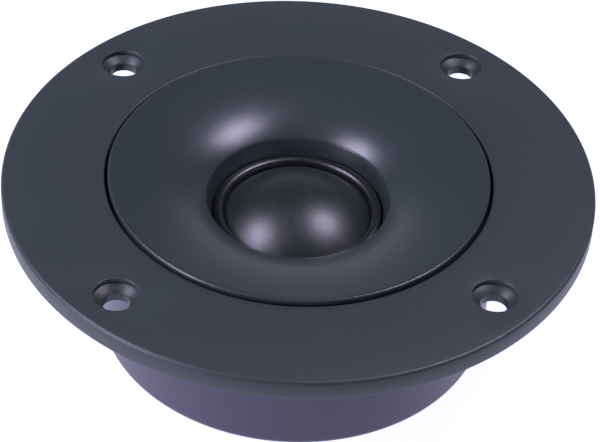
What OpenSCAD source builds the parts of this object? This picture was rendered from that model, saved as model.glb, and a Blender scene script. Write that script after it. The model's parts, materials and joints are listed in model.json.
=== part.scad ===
// Car tweeter: a 25 mm soft dome behind a shallow flare, set in a round screw-down faceplate,
// with a ferrite ring motor closed in by a moulded rear cup.
// The origin is the centre of the faceplate's seating plane. +Z points out of the front,
// and the terminals are on the +Y side.

/* [Faceplate] */
// Outer diameter of the faceplate
faceplate_d = 100; // [98:1:130]
// Thickness of the faceplate's screw ring
faceplate_t = 3.5; // [2.8:0.1:5]
// Radius on the front outer edge
front_edge_r = 0.6; // [0.2:0.1:1]
// Bevel on the back outer edge
back_edge = 0.3; // [0.1:0.1:0.6]
// Depth from the seating plane to the motor
motor_depth = 7.05; // [6.7:0.05:8.5]
// Thickness of the floor that the motor is screwed to
floor_t = 2; // [1.4:0.1:2.6]
// Wall of the spigot that enters the rear cup
spigot_wall = 1.6; // [1.2:0.1:2.4]
// Depth of the seat that the flare rests on, from the front face
seat_depth = 2.3; // [1.6:0.1:2.4]

/* [Mounting screws] */
// Number of mounting screw holes
screw_count = 4; // [3:1:8]
// Distance from the faceplate's edge to the middle of a hole
screw_inset = 7.35; // [6:0.05:7.6]
// Diameter of the through hole
screw_hole_d = 4.5; // [3:0.1:5]
// Diameter of the recess for the screw head
head_recess_d = 7.4; // [6:0.1:9]
// Depth of the straight part of the recess
head_recess_depth = 1; // [0.3:0.1:1.4]
// Depth of the whole recess, with its cone
head_cone_depth = 1.8; // [1.5:0.1:2.4]

/* [Flare] */
// Gap between the flare and the faceplate
flare_gap = 0.55; // [0.3:0.05:1.5]
// How far the flare stands above the faceplate
flare_proud = 0.5; // [0:0.05:1]
// Width of the flare's rim that rests on the seat
flare_seat_w = 1.65; // [1:0.05:2.5]
// Wall of the flare, measured along Z
flare_wall = 1.9; // [1.4:0.1:2.4]
// Length over which the flare opens out
flare_length = 4.65; // [3:0.05:7]
// Radius of the throat's lip
lip_r = 0.8; // [0.5:0.1:1.5]
// Width of the flare's foot around the throat
foot_w = 3; // [2.5:0.1:4]

/* [Dome and voice coil] */
// Inner diameter of the voice coil former
coil_d = 25; // [19:0.5:31]
// Wall of the former
former_t = 0.1; // [0.05:0.01:0.2]
// Thickness of the winding
winding_t = 0.35; // [0.2:0.05:0.6]
// Height of the winding
winding_h = 2.8; // [2:0.1:4]
// Clearance on each side of the coil in the magnetic gap
gap_clear = 0.3; // [0.2:0.05:0.5]
// Height of the dome above its edge
dome_h = 5.45; // [3:0.05:6.5]
// Thickness of the dome fabric
dome_t = 0.3; // [0.2:0.05:0.5]
// Outer radius of the surround's half roll
roll_r = 1; // [0.7:0.05:1.2]
// Thickness of the surround fabric
roll_t = 0.25; // [0.15:0.05:0.4]
// Width of the surround's glued edge
surround_land = 2.5; // [1.5:0.1:3]
// Width of the ring that carries the surround
carrier_w = 6.2; // [5.8:0.1:8]
// Thickness of the ring that carries the surround
carrier_t = 1.7; // [1.3:0.1:2.2]
// Thickness of the throat gasket
throat_gasket_t = 0.4; // [0.2:0.1:0.8]

/* [Motor] */
// Thickness of the top plate
top_plate_t = 4; // [3:0.5:6]
// Thickness of the magnet
magnet_t = 8; // [6:0.5:10]
// Width of the magnet ring
magnet_w = 13; // [11:0.5:18]
// Thickness of the back plate
back_plate_t = 4; // [3:0.5:5]
// Inset of both plates from the edge of the magnet
plate_inset = 1; // [0.5:0.1:2]
// Radial space between the top plate's bore and the magnet's bore
magnet_bore_step = 2.25; // [1:0.05:4]
// Wall of the copper cap on the pole
cap_t = 0.35; // [0.2:0.05:0.6]
// Diameter of the vent through the pole
vent_d = 8; // [5:0.5:10]

/* [Rear cup] */
// Depth of the cup behind the seating plane
cup_depth = 27.4; // [26:0.1:40]
// Wall of the cup
cup_wall = 2; // [1.5:0.1:3]
// Thickness of the cup's floor
cup_floor_t = 2; // [1.6:0.1:3]
// Space for the leads between the magnet and the cup
lead_space = 3.9; // [3.4:0.1:6]
// Taper of the cup's wall, from rim to floor
cup_taper = 0.5; // [0.1:0.1:1]
// Radius on the cup's back edge
cup_edge_r = 1.5; // [0.5:0.1:1.8]
// Slack between the spigot and the cup
cup_slack = 0.2; // [0.15:0.05:0.4]

/* [Terminals] */
// Width of the terminal board
board_w = 22; // [20:0.5:24]
// Height of the terminal board
board_h = 9.5; // [8:0.5:11]
// Thickness of the terminal board
board_t = 1.6; // [1:0.1:2]
// Distance between the two terminals
terminal_pitch = 10; // [9:0.5:11]
// Width of the positive blade
positive_w = 4.8; // [4:0.1:6.3]
// Width of the negative blade
negative_w = 2.8; // [2:0.1:4.8]
// Thickness of both blades
blade_t = 0.5; // [0.4:0.1:0.8]
// Length of both blades behind their bend
blade_length = 9; // [6:0.5:10]
// Space between the blades and the cup
blade_clear = 1; // [0.8:0.1:1.5]
// Diameter of the insulated internal leads
lead_d = 0.9; // [0.6:0.1:1]

/* [Hidden] */
$fn = 96;
// Overrun of a cut past the face it opens
cut = 1;

// Radii outwards from the voice coil
former_ri = coil_d / 2;
former_ro = former_ri + former_t;
winding_ro = former_ro + winding_t;
cap_ro = former_ri - gap_clear;
pole_r = cap_ro - cap_t;
vent_r = vent_d / 2;
top_plate_ri = winding_ro + gap_clear;
roll_mid_r = former_ro + 0.02 + roll_r;
roll_outer_r = roll_mid_r + roll_r;
land_ro = roll_outer_r + surround_land;
carrier_ri = roll_outer_r + 0.32;
carrier_ro = carrier_ri + carrier_w;
floor_hole_r = carrier_ro + 0.25;
magnet_ri = top_plate_ri + magnet_bore_step;
magnet_ro = magnet_ri + magnet_w;
plate_ro = magnet_ro - plate_inset;
cup_ri = magnet_ro + lead_space;
cup_ro = cup_ri + cup_wall;
spigot_ro = cup_ri - cup_slack;
spigot_ri = spigot_ro - spigot_wall;
flare_ro = spigot_ri + flare_seat_w;
opening_r = flare_ro + flare_gap;
faceplate_r = faceplate_d / 2;
screw_circle_r = faceplate_r - screw_inset;
screw_hole_r = screw_hole_d / 2;

// Heights, from the seating plane at zero
seat_z = faceplate_t - seat_depth;
flare_top_z = faceplate_t + flare_proud;
motor_z = -motor_depth;
floor_top_z = motor_z + floor_t;
carrier_top_z = motor_z + carrier_t;
land_t = 0.2;
land_top_z = carrier_top_z + land_t;
foot_z = land_top_z + throat_gasket_t;
roll_z = carrier_top_z + land_t / 2;
dome_edge_z = carrier_top_z - 0.4;
magnet_top_z = motor_z - top_plate_t;
back_plate_z = magnet_top_z - magnet_t;
motor_back_z = back_plate_z - back_plate_t;
cup_back_z = -cup_depth;
cup_floor_z = cup_back_z + cup_floor_t;

// Panel gasket, midway between the cup and the screw holes
gasket_mid_r = (cup_ro + screw_circle_r - screw_hole_r) / 2;
gasket_w = 3;
gasket_t = 1;

// Fasteners: M3, with plain shanks in place of threads
m3_r = 1.5;
m3_free_r = 1.65;
m3_head_r = 2.75;
m3_head_h = 2;
m3_slot_w = 0.8;
m3_slot_depth = 1;
motor_screw_circle_r = floor_hole_r + m3_head_r + 0.25;
motor_screw_angles = [45, 135, 225, 315];
motor_screw_grip = 3.6;
cup_screw_circle_r = (pole_r + plate_ro) / 2 + 0.3;
cup_screw_angles = [30, 150, 270];
cup_screw_grip = 3.2;
cup_boss_r = 3.2;
cup_head_depth = 1;
cup_head_r = 2.75;
cup_head_h = 0.9;

// Flare curve: the slope falls away exponentially from the lip to the rim
lip_slope = 40;
throat_slope = 74;
rim_edge = 0.35;
flare_start_r = roll_outer_r + 0.1;
lip_wall_h = 2.86;
lip_arc_dr = lip_r * (sin(throat_slope) - sin(lip_slope));
lip_arc_dz = lip_r * (cos(lip_slope) - cos(throat_slope));
lip_low_r = flare_start_r + lip_wall_h / tan(throat_slope);
lip_top_r = lip_low_r + lip_arc_dr;
lip_top_z = foot_z + lip_wall_h + lip_arc_dz;
flare_w = flare_ro - rim_edge - lip_top_r;
flare_fade = flare_length * (1 - exp(-flare_w / flare_length));
flare_rise = flare_top_z - lip_top_z;
mouth_slope = (flare_rise - tan(lip_slope) * flare_fade) / (flare_w - flare_fade);
flare_steps = 24;
lip_steps = 8;

// Terminal board, let into a flat on the +Y side of the cup
terminal_x = terminal_pitch / 2;
board_y = cup_ri - 1.5;
board_z = motor_z - 6.5;
board_slack = 0.15;
pad_t = 1.5;
window_w = board_w - 5;
window_h = board_h - 3.5;
board_face_y = board_y + board_t;
blade_y = cup_ro + blade_clear;
foot_h = 4.5;
rivet_r = 0.8;
rivet_head_r = 1.4;
rivet_head_t = 0.4;
board_rivet_x = board_w / 2 - 1.3;
board_rivet_r = 0.5;
board_rivet_head_r = 0.9;
board_rivet_head_t = 0.3;

// Leads and solder tags
tag_w = 3;
tag_t = 0.3;
tag_inner_y = y_at(land_ro) + 1.9;
tag_outer_y = y_at(carrier_ro) - 0.25;
tag_rivet_r = 0.45;
tag_rivet_head_r = 0.8;
tag_rivet_head_t = 0.25;
tail_r = 0.1;
tail_groove_w = 0.3;
tail_groove_depth = 0.32;
tail_z = carrier_top_z - 0.18;
lead_r = lead_d / 2;
lead_hole_r = lead_r + 0.3;
lead_drop_y = (y_at(magnet_ro) + y_at(spigot_ri)) / 2 - 0.35;

// Y of a point on a circle of radius r, in the plane of a terminal
function y_at(r) = sqrt(r * r - terminal_x * terminal_x);

// Points of an arc about [cx, cy]
function arc(cx, cy, r, from, to, steps) = [
    for (i = [0 : steps]) let (a = from + (to - from) * i / steps)
        [cx + r * cos(a), cy + r * sin(a)]
];

// Height of the flare's face at a distance s outwards from the lip
function flare_z(s) = lip_top_z + mouth_slope * s
    + (tan(lip_slope) - mouth_slope) * flare_length * (1 - exp(-s / flare_length));

// Unit vector
function unit(v) = v / norm(v);

// Direction of a path at one of its points
function heading(path, i) = unit(
    path[min(i + 1, len(path) - 1)] - path[max(i - 1, 0)]);

// A ring between two radii and two heights
module ring(ro, ri, low, high) {
    difference() {
        translate([0, 0, low]) cylinder(h = high - low, r = ro);
        translate([0, 0, low - cut]) cylinder(h = high - low + 2 * cut, r = ri);
    }
}

// A disc between two heights
module disc(r, low, high) {
    translate([0, 0, low]) cylinder(h = high - low, r = r);
}

// A block from its two corners
module block(low, high) {
    translate(low) cube(high - low);
}

// Children at a list of angles on a circle
module on_circle(r, angles) {
    for (a = angles) {
        rotate([0, 0, a]) translate([r, 0, 0]) children();
    }
}

// A cylinder along Y
module rod_y(x, z, r, low, high) {
    translate([x, low, z]) rotate([-90, 0, 0]) cylinder(h = high - low, r = r);
}

// A thin wire along a path of [y, z] points in the plane x
module wire(x, path, r) {
    sides = 8;
    rings = len(path);
    points = [
        for (i = [0 : rings - 1]) let (d = heading(path, i))
            for (k = [0 : sides - 1]) let (a = 360 * k / sides)
                [x + r * cos(a), path[i][0] - r * sin(a) * d[1], path[i][1] + r * sin(a) * d[0]]
    ];
    sides_faces = [
        for (i = [0 : rings - 2]) for (k = [0 : sides - 1]) let (n = (k + 1) % sides)
            [i * sides + k, (i + 1) * sides + k, (i + 1) * sides + n, i * sides + n]
    ];
    first = [for (k = [0 : sides - 1]) k];
    last = [for (k = [sides - 1 : -1 : 0]) (rings - 1) * sides + k];
    polyhedron(points, concat(sides_faces, [first], [last]));
}

// An M3 screw with its head above z = 0 and its shank below
module m3_screw(length, head_r, head_h, slot_depth) {
    difference() {
        union() {
            disc(m3_r, -length, 0.01);
            disc(head_r, 0, head_h);
        }
        for (turn = [0, 90]) {
            rotate([0, 0, turn]) translate([-head_r * 0.6, -m3_slot_w / 2, head_h - slot_depth])
                cube([head_r * 1.2, m3_slot_w, slot_depth + cut]);
        }
    }
}

// The faceplate: a flat screw ring, a seat for the flare and a deep floor over the motor
module faceplate() {
    screw_angles = [for (i = [0 : screw_count - 1]) 45 + 360 * i / screw_count];
    profile = concat(
        [
            [floor_hole_r, motor_z],
            [spigot_ro, motor_z],
            [spigot_ro, 0],
            [faceplate_r - back_edge, 0],
            [faceplate_r, back_edge]
        ],
        arc(faceplate_r - front_edge_r, faceplate_t - front_edge_r, front_edge_r, 0, 90, 4),
        [
            [opening_r + 0.3, faceplate_t],
            [opening_r, faceplate_t - 0.3],
            [opening_r, seat_z],
            [spigot_ri, seat_z],
            [spigot_ri, floor_top_z],
            [floor_hole_r, floor_top_z]
        ]
    );
    color("#3a4048") difference() {
        rotate_extrude() polygon(profile);
        ring(gasket_mid_r + gasket_w / 2, gasket_mid_r - gasket_w / 2, -cut, gasket_t);
        on_circle(screw_circle_r, screw_angles) {
            disc(screw_hole_r, -cut, faceplate_t + cut);
            translate([0, 0, faceplate_t - head_cone_depth])
                cylinder(h = head_cone_depth - head_recess_depth, r1 = screw_hole_r,
                    r2 = head_recess_d / 2);
            disc(head_recess_d / 2, faceplate_t - head_recess_depth, faceplate_t + cut);
        }
        on_circle(motor_screw_circle_r, motor_screw_angles)
            disc(m3_free_r, motor_z - cut, floor_top_z + cut);
        for (x = [-terminal_x, terminal_x]) {
            translate([x, lead_drop_y, 0]) disc(lead_hole_r, motor_z - cut, floor_top_z + cut);
        }
    }
}

// The flare: a separate dished disc with a rounded lip and a short conical throat
module flare() {
    top_curve = [
        for (i = [flare_steps : -1 : 0]) let (s = flare_w * i / flare_steps)
            [lip_top_r + s, flare_z(s)]
    ];
    lip_curve = [
        for (i = [1 : lip_steps])
            let (a = lip_slope + (throat_slope - lip_slope) * i / lip_steps)
                [
                    lip_top_r - lip_r * (sin(a) - sin(lip_slope)),
                    lip_top_z - lip_r * (cos(lip_slope) - cos(a))
                ]
    ];
    foot_ro = flare_start_r + foot_w;
    foot_s = foot_ro - lip_top_r;
    rim_ri = spigot_ri + 0.1;
    under_curve = [
        for (i = [0 : flare_steps])
            let (s = foot_s + (rim_ri - foot_ro) * i / flare_steps)
                [lip_top_r + s, flare_z(s) - flare_wall]
    ];
    profile = concat(
        arc(flare_ro - rim_edge, flare_top_z - rim_edge, rim_edge, 0, 75, 3),
        top_curve,
        lip_curve,
        [[flare_start_r, foot_z], [foot_ro, foot_z]],
        under_curve,
        [[rim_ri, seat_z], [flare_ro, seat_z]]
    );
    color("#3d444c") rotate_extrude() polygon(profile);
}

// A soft ring let into the back of the faceplate, which seals it to the panel
module panel_gasket() {
    color("#202224") ring(gasket_mid_r + gasket_w / 2, gasket_mid_r - gasket_w / 2, 0, gasket_t);
}

// A soft ring that seals the flare's foot to the surround's glued edge
module throat_gasket() {
    color("#1c1d1f") ring(flare_start_r + foot_w, flare_start_r + 0.35, land_top_z, foot_z);
}

// The coated fabric dome
module dome() {
    base_r = former_ro;
    ball_r = (base_r * base_r + dome_h * dome_h) / (2 * dome_h);
    centre_z = dome_edge_z + dome_h - ball_r;
    color("#4c5358") difference() {
        intersection() {
            translate([0, 0, centre_z]) sphere(ball_r, $fn = 128);
            disc(ball_r, dome_edge_z, dome_edge_z + dome_h + cut);
        }
        translate([0, 0, centre_z]) sphere(ball_r - dome_t, $fn = 128);
    }
}

// The half roll that carries the dome, with its inner leg and its glued edge
module surround() {
    leg_low_z = dome_edge_z - 0.1;
    color("#41474c") rotate_extrude() {
        difference() {
            translate([roll_mid_r, roll_z]) circle(roll_r, $fn = 48);
            translate([roll_mid_r, roll_z]) circle(roll_r - roll_t, $fn = 48);
            translate([roll_mid_r - 2 * roll_r, roll_z - 3 * roll_r])
                square([4 * roll_r, 3 * roll_r]);
        }
        translate([former_ro, leg_low_z]) square([roll_t, roll_z - leg_low_z + 0.02]);
        translate([roll_outer_r - roll_t, carrier_top_z])
            square([surround_land + roll_t, land_t]);
    }
}

// The aluminium tube that the coil is wound on
module voice_coil_former() {
    former_low_z = motor_z - top_plate_t / 2 - winding_h / 2 - 0.4;
    color("#b8babd") ring(former_ro, former_ri, former_low_z, dome_edge_z);
}

// The copper winding, centred in the magnetic gap
module voice_coil_winding() {
    gap_mid_z = motor_z - top_plate_t / 2;
    color("#a85f32")
        ring(winding_ro, former_ro, gap_mid_z - winding_h / 2, gap_mid_z + winding_h / 2);
}

// The fine tail from the winding to its solder tag
module coil_tail(x) {
    start_z = motor_z - top_plate_t / 2 + winding_h / 2 - 0.3;
    start_y = y_at(winding_ro + tail_r);
    entry_y = y_at(carrier_ri);
    wire(x, [
        [start_y, start_z],
        [start_y + 0.02, motor_z + 0.05],
        [start_y + 0.3, tail_z - 0.25],
        [start_y + 0.8, tail_z - 0.06],
        [entry_y, tail_z],
        [tag_inner_y - 0.6, tail_z],
        [tag_inner_y - 0.35, tail_z + 0.2],
        [tag_inner_y - 0.15, carrier_top_z + tag_t / 2],
        [tag_inner_y, carrier_top_z + tag_t / 2]
    ], tail_r);
}

module coil_tail_positive() {
    color("#b06a3a") coil_tail(terminal_x);
}

module coil_tail_negative() {
    color("#b06a3a") coil_tail(-terminal_x);
}

// The moulded ring that the surround is glued to
module surround_carrier() {
    color("#26282b") difference() {
        ring(carrier_ro, carrier_ri, motor_z, carrier_top_z);
        for (x = [-terminal_x, terminal_x]) {
            block(
                [x - tail_groove_w / 2, y_at(carrier_ri) - cut, carrier_top_z - tail_groove_depth],
                [x + tail_groove_w / 2, tag_inner_y, carrier_top_z + cut]
            );
            translate([x, (tag_inner_y + tag_outer_y) / 2, 0])
                disc(tag_rivet_r, motor_z - cut, carrier_top_z + cut);
        }
    }
}

// A tinned brass tag on the carrier ring
module solder_tag(x) {
    difference() {
        block(
            [x - tag_w / 2, tag_inner_y, carrier_top_z],
            [x + tag_w / 2, tag_outer_y, carrier_top_z + tag_t]
        );
        translate([x, (tag_inner_y + tag_outer_y) / 2, 0])
            disc(tag_rivet_r, carrier_top_z - cut, carrier_top_z + cut);
    }
}

module solder_tag_positive() {
    color("#c9b583") solder_tag(terminal_x);
}

module solder_tag_negative() {
    color("#c9b583") solder_tag(-terminal_x);
}

// The two small rivets that hold the solder tags
module tag_rivets() {
    color("#c8c9cb") for (x = [-terminal_x, terminal_x]) {
        translate([x, (tag_inner_y + tag_outer_y) / 2, 0]) {
            disc(tag_rivet_r, motor_z, carrier_top_z + tag_t + 0.01);
            disc(tag_rivet_head_r, carrier_top_z + tag_t, carrier_top_z + tag_t + tag_rivet_head_t);
        }
    }
}

// The steel washer that is the outer pole of the gap
module top_plate() {
    color("#9ea3a8") difference() {
        ring(plate_ro, top_plate_ri, magnet_top_z, motor_z);
        on_circle(motor_screw_circle_r, motor_screw_angles)
            disc(m3_r, magnet_top_z - cut, motor_z + cut);
    }
}

// The ferrite ring
module magnet_ring() {
    color("#2b2c2e") ring(magnet_ro, magnet_ri, back_plate_z, magnet_top_z);
}

// The steel back plate, bored for the pole's spigot and tapped for the cup's screws
module back_plate() {
    color("#9ea3a8") difference() {
        ring(plate_ro, pole_r - 3.5, motor_back_z, back_plate_z);
        on_circle(cup_screw_circle_r, cup_screw_angles)
            disc(m3_r, motor_back_z - cut, motor_back_z + cup_screw_grip + 0.2);
    }
}

// The vented steel pole, pressed into the back plate
module pole_piece() {
    color("#a6abb0") difference() {
        union() {
            disc(pole_r, back_plate_z, motor_z);
            disc(pole_r - 3.5, motor_back_z, back_plate_z + 0.01);
        }
        disc(vent_r, motor_back_z - cut, motor_z + cut);
    }
}

// The thin copper cap over the pole, which keeps the coil's inductance down
module copper_cap() {
    color("#b4683a") difference() {
        disc(cap_ro, motor_z - top_plate_t - 1.5, motor_z + cap_t);
        disc(pole_r, motor_z - top_plate_t - 1.5 - cut, motor_z);
        disc(vent_r + 0.4, motor_z - cut, motor_z + cap_t + cut);
    }
}

// The felt pad under the dome
module dome_felt() {
    felt_low_z = motor_z + cap_t;
    color("#77787a") ring(pole_r * 0.7, vent_r + 0.6, felt_low_z, felt_low_z + 1.5);
}

// The open-cell plug in the pole's vent
module vent_wadding() {
    color("#5a5b5e") disc(vent_r - 0.05, back_plate_z - 1.5, magnet_top_z + 1);
}

// Four screws that hold the motor to the faceplate, hidden under the flare
module motor_screws() {
    color("#8f9296") on_circle(motor_screw_circle_r, motor_screw_angles)
        translate([0, 0, floor_top_z])
            m3_screw(floor_t + motor_screw_grip, m3_head_r, m3_head_h, m3_slot_depth);
}

// The rear cup: a tapered pot with three screw bosses and a flat for the terminal board
module rear_cup() {
    back_ro = cup_ro - cup_taper;
    floor_ri = cup_ri - cup_taper;
    outside = concat(
        [[0, 0], [cup_ro, 0]],
        arc(back_ro - cup_edge_r, cup_back_z + cup_edge_r, cup_edge_r, 0, -90, 8),
        [[0, cup_back_z]]
    );
    inside = [[0, cut], [cup_ri, cut], [cup_ri, 0], [floor_ri, cup_floor_z], [0, cup_floor_z]];
    slot_w = board_w + 2 * board_slack;
    slot_h = board_h + 2 * board_slack;
    color("#5d5c76") difference() {
        union() {
            difference() {
                rotate_extrude() polygon(outside);
                rotate_extrude() polygon(inside);
            }
            intersection() {
                disc(cup_ri + cup_wall / 2, cup_back_z + 1, 0);
                block(
                    [-slot_w / 2 - 1, board_y - pad_t, board_z - slot_h / 2 - 1],
                    [slot_w / 2 + 1, cup_ro, board_z + slot_h / 2 + 1]
                );
            }
            on_circle(cup_screw_circle_r, cup_screw_angles)
                disc(cup_boss_r, cup_back_z + 1, motor_back_z);
        }
        block(
            [-slot_w / 2, board_y, board_z - slot_h / 2],
            [slot_w / 2, cup_ro + cut, board_z + slot_h / 2]
        );
        block(
            [-window_w / 2, board_y - pad_t - cut, board_z - window_h / 2],
            [window_w / 2, board_y + cut, board_z + window_h / 2]
        );
        for (x = [-board_rivet_x, board_rivet_x]) {
            rod_y(x, board_z, board_rivet_r, board_y - pad_t - cut, board_y + cut);
        }
        on_circle(cup_screw_circle_r, cup_screw_angles) {
            disc(m3_free_r, cup_back_z - cut, motor_back_z + cut);
            disc(cup_head_r + 0.15, cup_back_z - cut, cup_back_z + cup_head_depth);
        }
    }
}

// The open-cell pad that fills the space behind the motor
module chamber_foam() {
    color("#4a4b4e") difference() {
        disc(cup_ri - cup_taper - 1.5, cup_floor_z, motor_back_z - 0.4);
        disc(vent_r + 1.5, cup_floor_z - cut, motor_back_z + cut);
        on_circle(cup_screw_circle_r, cup_screw_angles)
            disc(cup_boss_r + 0.3, cup_floor_z - cut, motor_back_z + cut);
    }
}

// Three screws that hold the cup to the motor, with their heads sunk in the cup's back
module cup_screws() {
    length = motor_back_z - cup_back_z - cup_head_depth + cup_screw_grip;
    color("#8f9296") on_circle(cup_screw_circle_r, cup_screw_angles)
        translate([0, 0, cup_back_z + cup_head_depth]) mirror([0, 0, 1])
            m3_screw(length, cup_head_r, cup_head_h, 0.6);
}

// The flat insulating board
module terminal_board() {
    color("#6b4a2f") difference() {
        block(
            [-board_w / 2, board_y, board_z - board_h / 2],
            [board_w / 2, board_face_y, board_z + board_h / 2]
        );
        for (x = [-terminal_x, terminal_x]) {
            rod_y(x, board_z, rivet_r, board_y - cut, board_face_y + cut);
        }
        for (x = [-board_rivet_x, board_rivet_x]) {
            rod_y(x, board_z, board_rivet_r, board_y - cut, board_face_y + cut);
        }
    }
}

// Two small rivets that hold the board in the cup
module board_rivets() {
    color("#c8c9cb") for (x = [-board_rivet_x, board_rivet_x]) {
        low = board_y - pad_t - board_rivet_head_t;
        high = board_face_y + board_rivet_head_t;
        rod_y(x, board_z, board_rivet_r, low, high);
        rod_y(x, board_z, board_rivet_head_r, board_face_y, high);
        rod_y(x, board_z, board_rivet_head_r, low, board_y - pad_t);
    }
}

// A blade: a riveted foot, a joggle away from the cup, and the blade itself
module terminal(x, w) {
    bend_z = board_z - foot_h / 2;
    tip_z = bend_z - blade_length;
    tip_bevel = 0.8;
    tip = [
        [-w / 2, bend_z],
        [-w / 2, tip_z + tip_bevel],
        [-w / 2 + tip_bevel / 2, tip_z],
        [w / 2 - tip_bevel / 2, tip_z],
        [w / 2, tip_z + tip_bevel],
        [w / 2, bend_z]
    ];
    difference() {
        union() {
            block(
                [x - w / 2, board_face_y, bend_z],
                [x + w / 2, board_face_y + blade_t, board_z + foot_h / 2]
            );
            block(
                [x - w / 2, board_face_y, bend_z - blade_t],
                [x + w / 2, blade_y + blade_t, bend_z]
            );
            translate([x, blade_y + blade_t, 0]) rotate([90, 0, 0])
                linear_extrude(blade_t) polygon(tip);
        }
        rod_y(x, board_z, rivet_r, board_face_y - cut, board_face_y + blade_t + cut);
        rod_y(x, tip_z + 3, 0.6, blade_y - cut, blade_y + blade_t + cut);
    }
}

module terminal_positive() {
    color("#d8d4c8") terminal(terminal_x, positive_w);
}

module terminal_negative() {
    color("#d8d4c8") terminal(-terminal_x, negative_w);
}

// The rivets that clamp the blades to the board and carry the current through it
module terminal_rivets() {
    color("#c9b583") for (x = [-terminal_x, terminal_x]) {
        outer_y = board_face_y + blade_t;
        rod_y(x, board_z, rivet_r, board_y, outer_y);
        rod_y(x, board_z, rivet_head_r, outer_y, outer_y + rivet_head_t);
        rod_y(x, board_z, rivet_head_r, board_y - rivet_head_t, board_y);
    }
}

// An insulated lead from a solder tag, over the floor and down beside the magnet
module lead(x) {
    start_y = tag_outer_y - 0.6;
    start_z = carrier_top_z + tag_t + tag_rivet_head_t + lead_r;
    run_z = floor_top_z + lead_r + 0.1;
    end_y = board_y - rivet_head_t - lead_r;
    bend = 0.9;
    wire(x, [
        [start_y, start_z],
        [start_y + 0.5, start_z],
        [y_at(floor_hole_r) + 0.6, (start_z + run_z) / 2],
        [y_at(floor_hole_r) + 1.6, run_z],
        [lead_drop_y - bend, run_z],
        [lead_drop_y - bend * (1 - sin(45)), run_z - bend * (1 - cos(45))],
        [lead_drop_y, run_z - bend],
        [lead_drop_y, board_z + 1.6],
        [(lead_drop_y + end_y) / 2, board_z + 0.9],
        [end_y, board_z + 0.4],
        [end_y, board_z - 0.8]
    ], lead_r);
}

module lead_positive() {
    color("#8c2c28") lead(terminal_x);
}

module lead_negative() {
    color("#1d1e20") lead(-terminal_x);
}

faceplate();
flare();
panel_gasket();
throat_gasket();
dome();
surround();
voice_coil_former();
voice_coil_winding();
coil_tail_positive();
coil_tail_negative();
surround_carrier();
solder_tag_positive();
solder_tag_negative();
tag_rivets();
top_plate();
magnet_ring();
back_plate();
pole_piece();
copper_cap();
dome_felt();
vent_wadding();
motor_screws();
rear_cup();
chamber_foam();
cup_screws();
terminal_board();
board_rivets();
terminal_positive();
terminal_negative();
terminal_rivets();
lead_positive();
lead_negative();
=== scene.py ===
# %% [markdown]
# # A soft-dome car tweeter
# This lesson builds the looks of a 25 mm soft-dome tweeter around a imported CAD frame.
# The frame says where every part is. The pieces made here are turned, drilled and bevelled
# in mesh code, so that edges catch the light the way moulded and stamped parts do.

# %% Load the frame
import json
import math

import bmesh
import bpy
from mathutils import Matrix, Vector


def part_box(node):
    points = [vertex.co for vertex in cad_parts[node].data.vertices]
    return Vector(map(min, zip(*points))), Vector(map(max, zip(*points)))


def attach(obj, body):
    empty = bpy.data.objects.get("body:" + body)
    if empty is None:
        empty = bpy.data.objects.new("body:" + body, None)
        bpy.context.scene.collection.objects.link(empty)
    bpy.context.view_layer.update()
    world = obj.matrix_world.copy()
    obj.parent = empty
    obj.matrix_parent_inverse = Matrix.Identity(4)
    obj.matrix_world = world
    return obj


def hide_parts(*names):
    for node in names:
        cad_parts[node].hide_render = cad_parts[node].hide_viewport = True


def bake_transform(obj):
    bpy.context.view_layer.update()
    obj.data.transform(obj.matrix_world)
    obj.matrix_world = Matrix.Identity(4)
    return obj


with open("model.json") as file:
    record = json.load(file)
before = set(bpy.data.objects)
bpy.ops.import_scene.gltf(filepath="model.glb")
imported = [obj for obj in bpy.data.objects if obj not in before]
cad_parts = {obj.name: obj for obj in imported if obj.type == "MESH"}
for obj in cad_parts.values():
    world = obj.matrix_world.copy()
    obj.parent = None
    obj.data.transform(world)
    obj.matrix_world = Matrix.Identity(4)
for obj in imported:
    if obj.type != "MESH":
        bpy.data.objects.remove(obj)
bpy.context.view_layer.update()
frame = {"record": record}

# %% [markdown]
# ## Units and places
# All the sizes below are in millimetres, and a mesh is scaled to metres as it is finished.
# Outer radii and heights come from the frame's own boxes. Walls and small radii, which a box
# can't tell, are named values.

# %% Read sizes from the frame
MM = 0.001
TERMINAL_X = 5.0
TERMINALS = (-TERMINAL_X, TERMINAL_X)
POLES = ((TERMINAL_X, "positive"), (-TERMINAL_X, "negative"))
slot_of = {part["node"]: part["material_slot"] for part in frame["record"]["subparts"]}


def box_of(node):
    """The two corners of a node's box, in millimetres."""
    return [[v / MM for v in corner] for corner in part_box(node)]


def size_of(node):
    """Outer radius, lowest z and highest z of a round node, in millimetres."""
    low, high = box_of(node)
    return high[0], low[2], high[2]


def y_at(radius):
    """The y of a point on a circle, in the plane of a terminal."""
    return math.sqrt(radius ** 2 - TERMINAL_X ** 2)


plate_r, plate_low, plate_top = size_of("faceplate")
flare_r, flare_low, flare_top = size_of("flare")
cup_r, cup_back, _ = size_of("rear_cup")
dome_r, dome_low, dome_top = size_of("dome")
carrier_r, motor_top, carrier_top = size_of("surround_carrier")
print("faceplate radius", round(plate_r, 2), "thickness", round(plate_top, 2), "mm")

# %% [markdown]
# ## The camera
# The tweeter lies face up and is seen from the front at about forty degrees, through a long
# lens, with the camera turned a little about its own axis. The camera is placed by those
# angles, so that the numbers are the ones that a camera stand would be set to.

# %% Place the camera
CAMERA_ELEVATION = math.radians(39.80)
CAMERA_AZIMUTH = math.radians(-4.07)
CAMERA_ROLL = math.radians(3.03)
CAMERA_DISTANCE = 387.0
CAMERA_LENS = 137.7
AIM_RIGHT = 0.53
AIM_UP = -8.11


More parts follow.
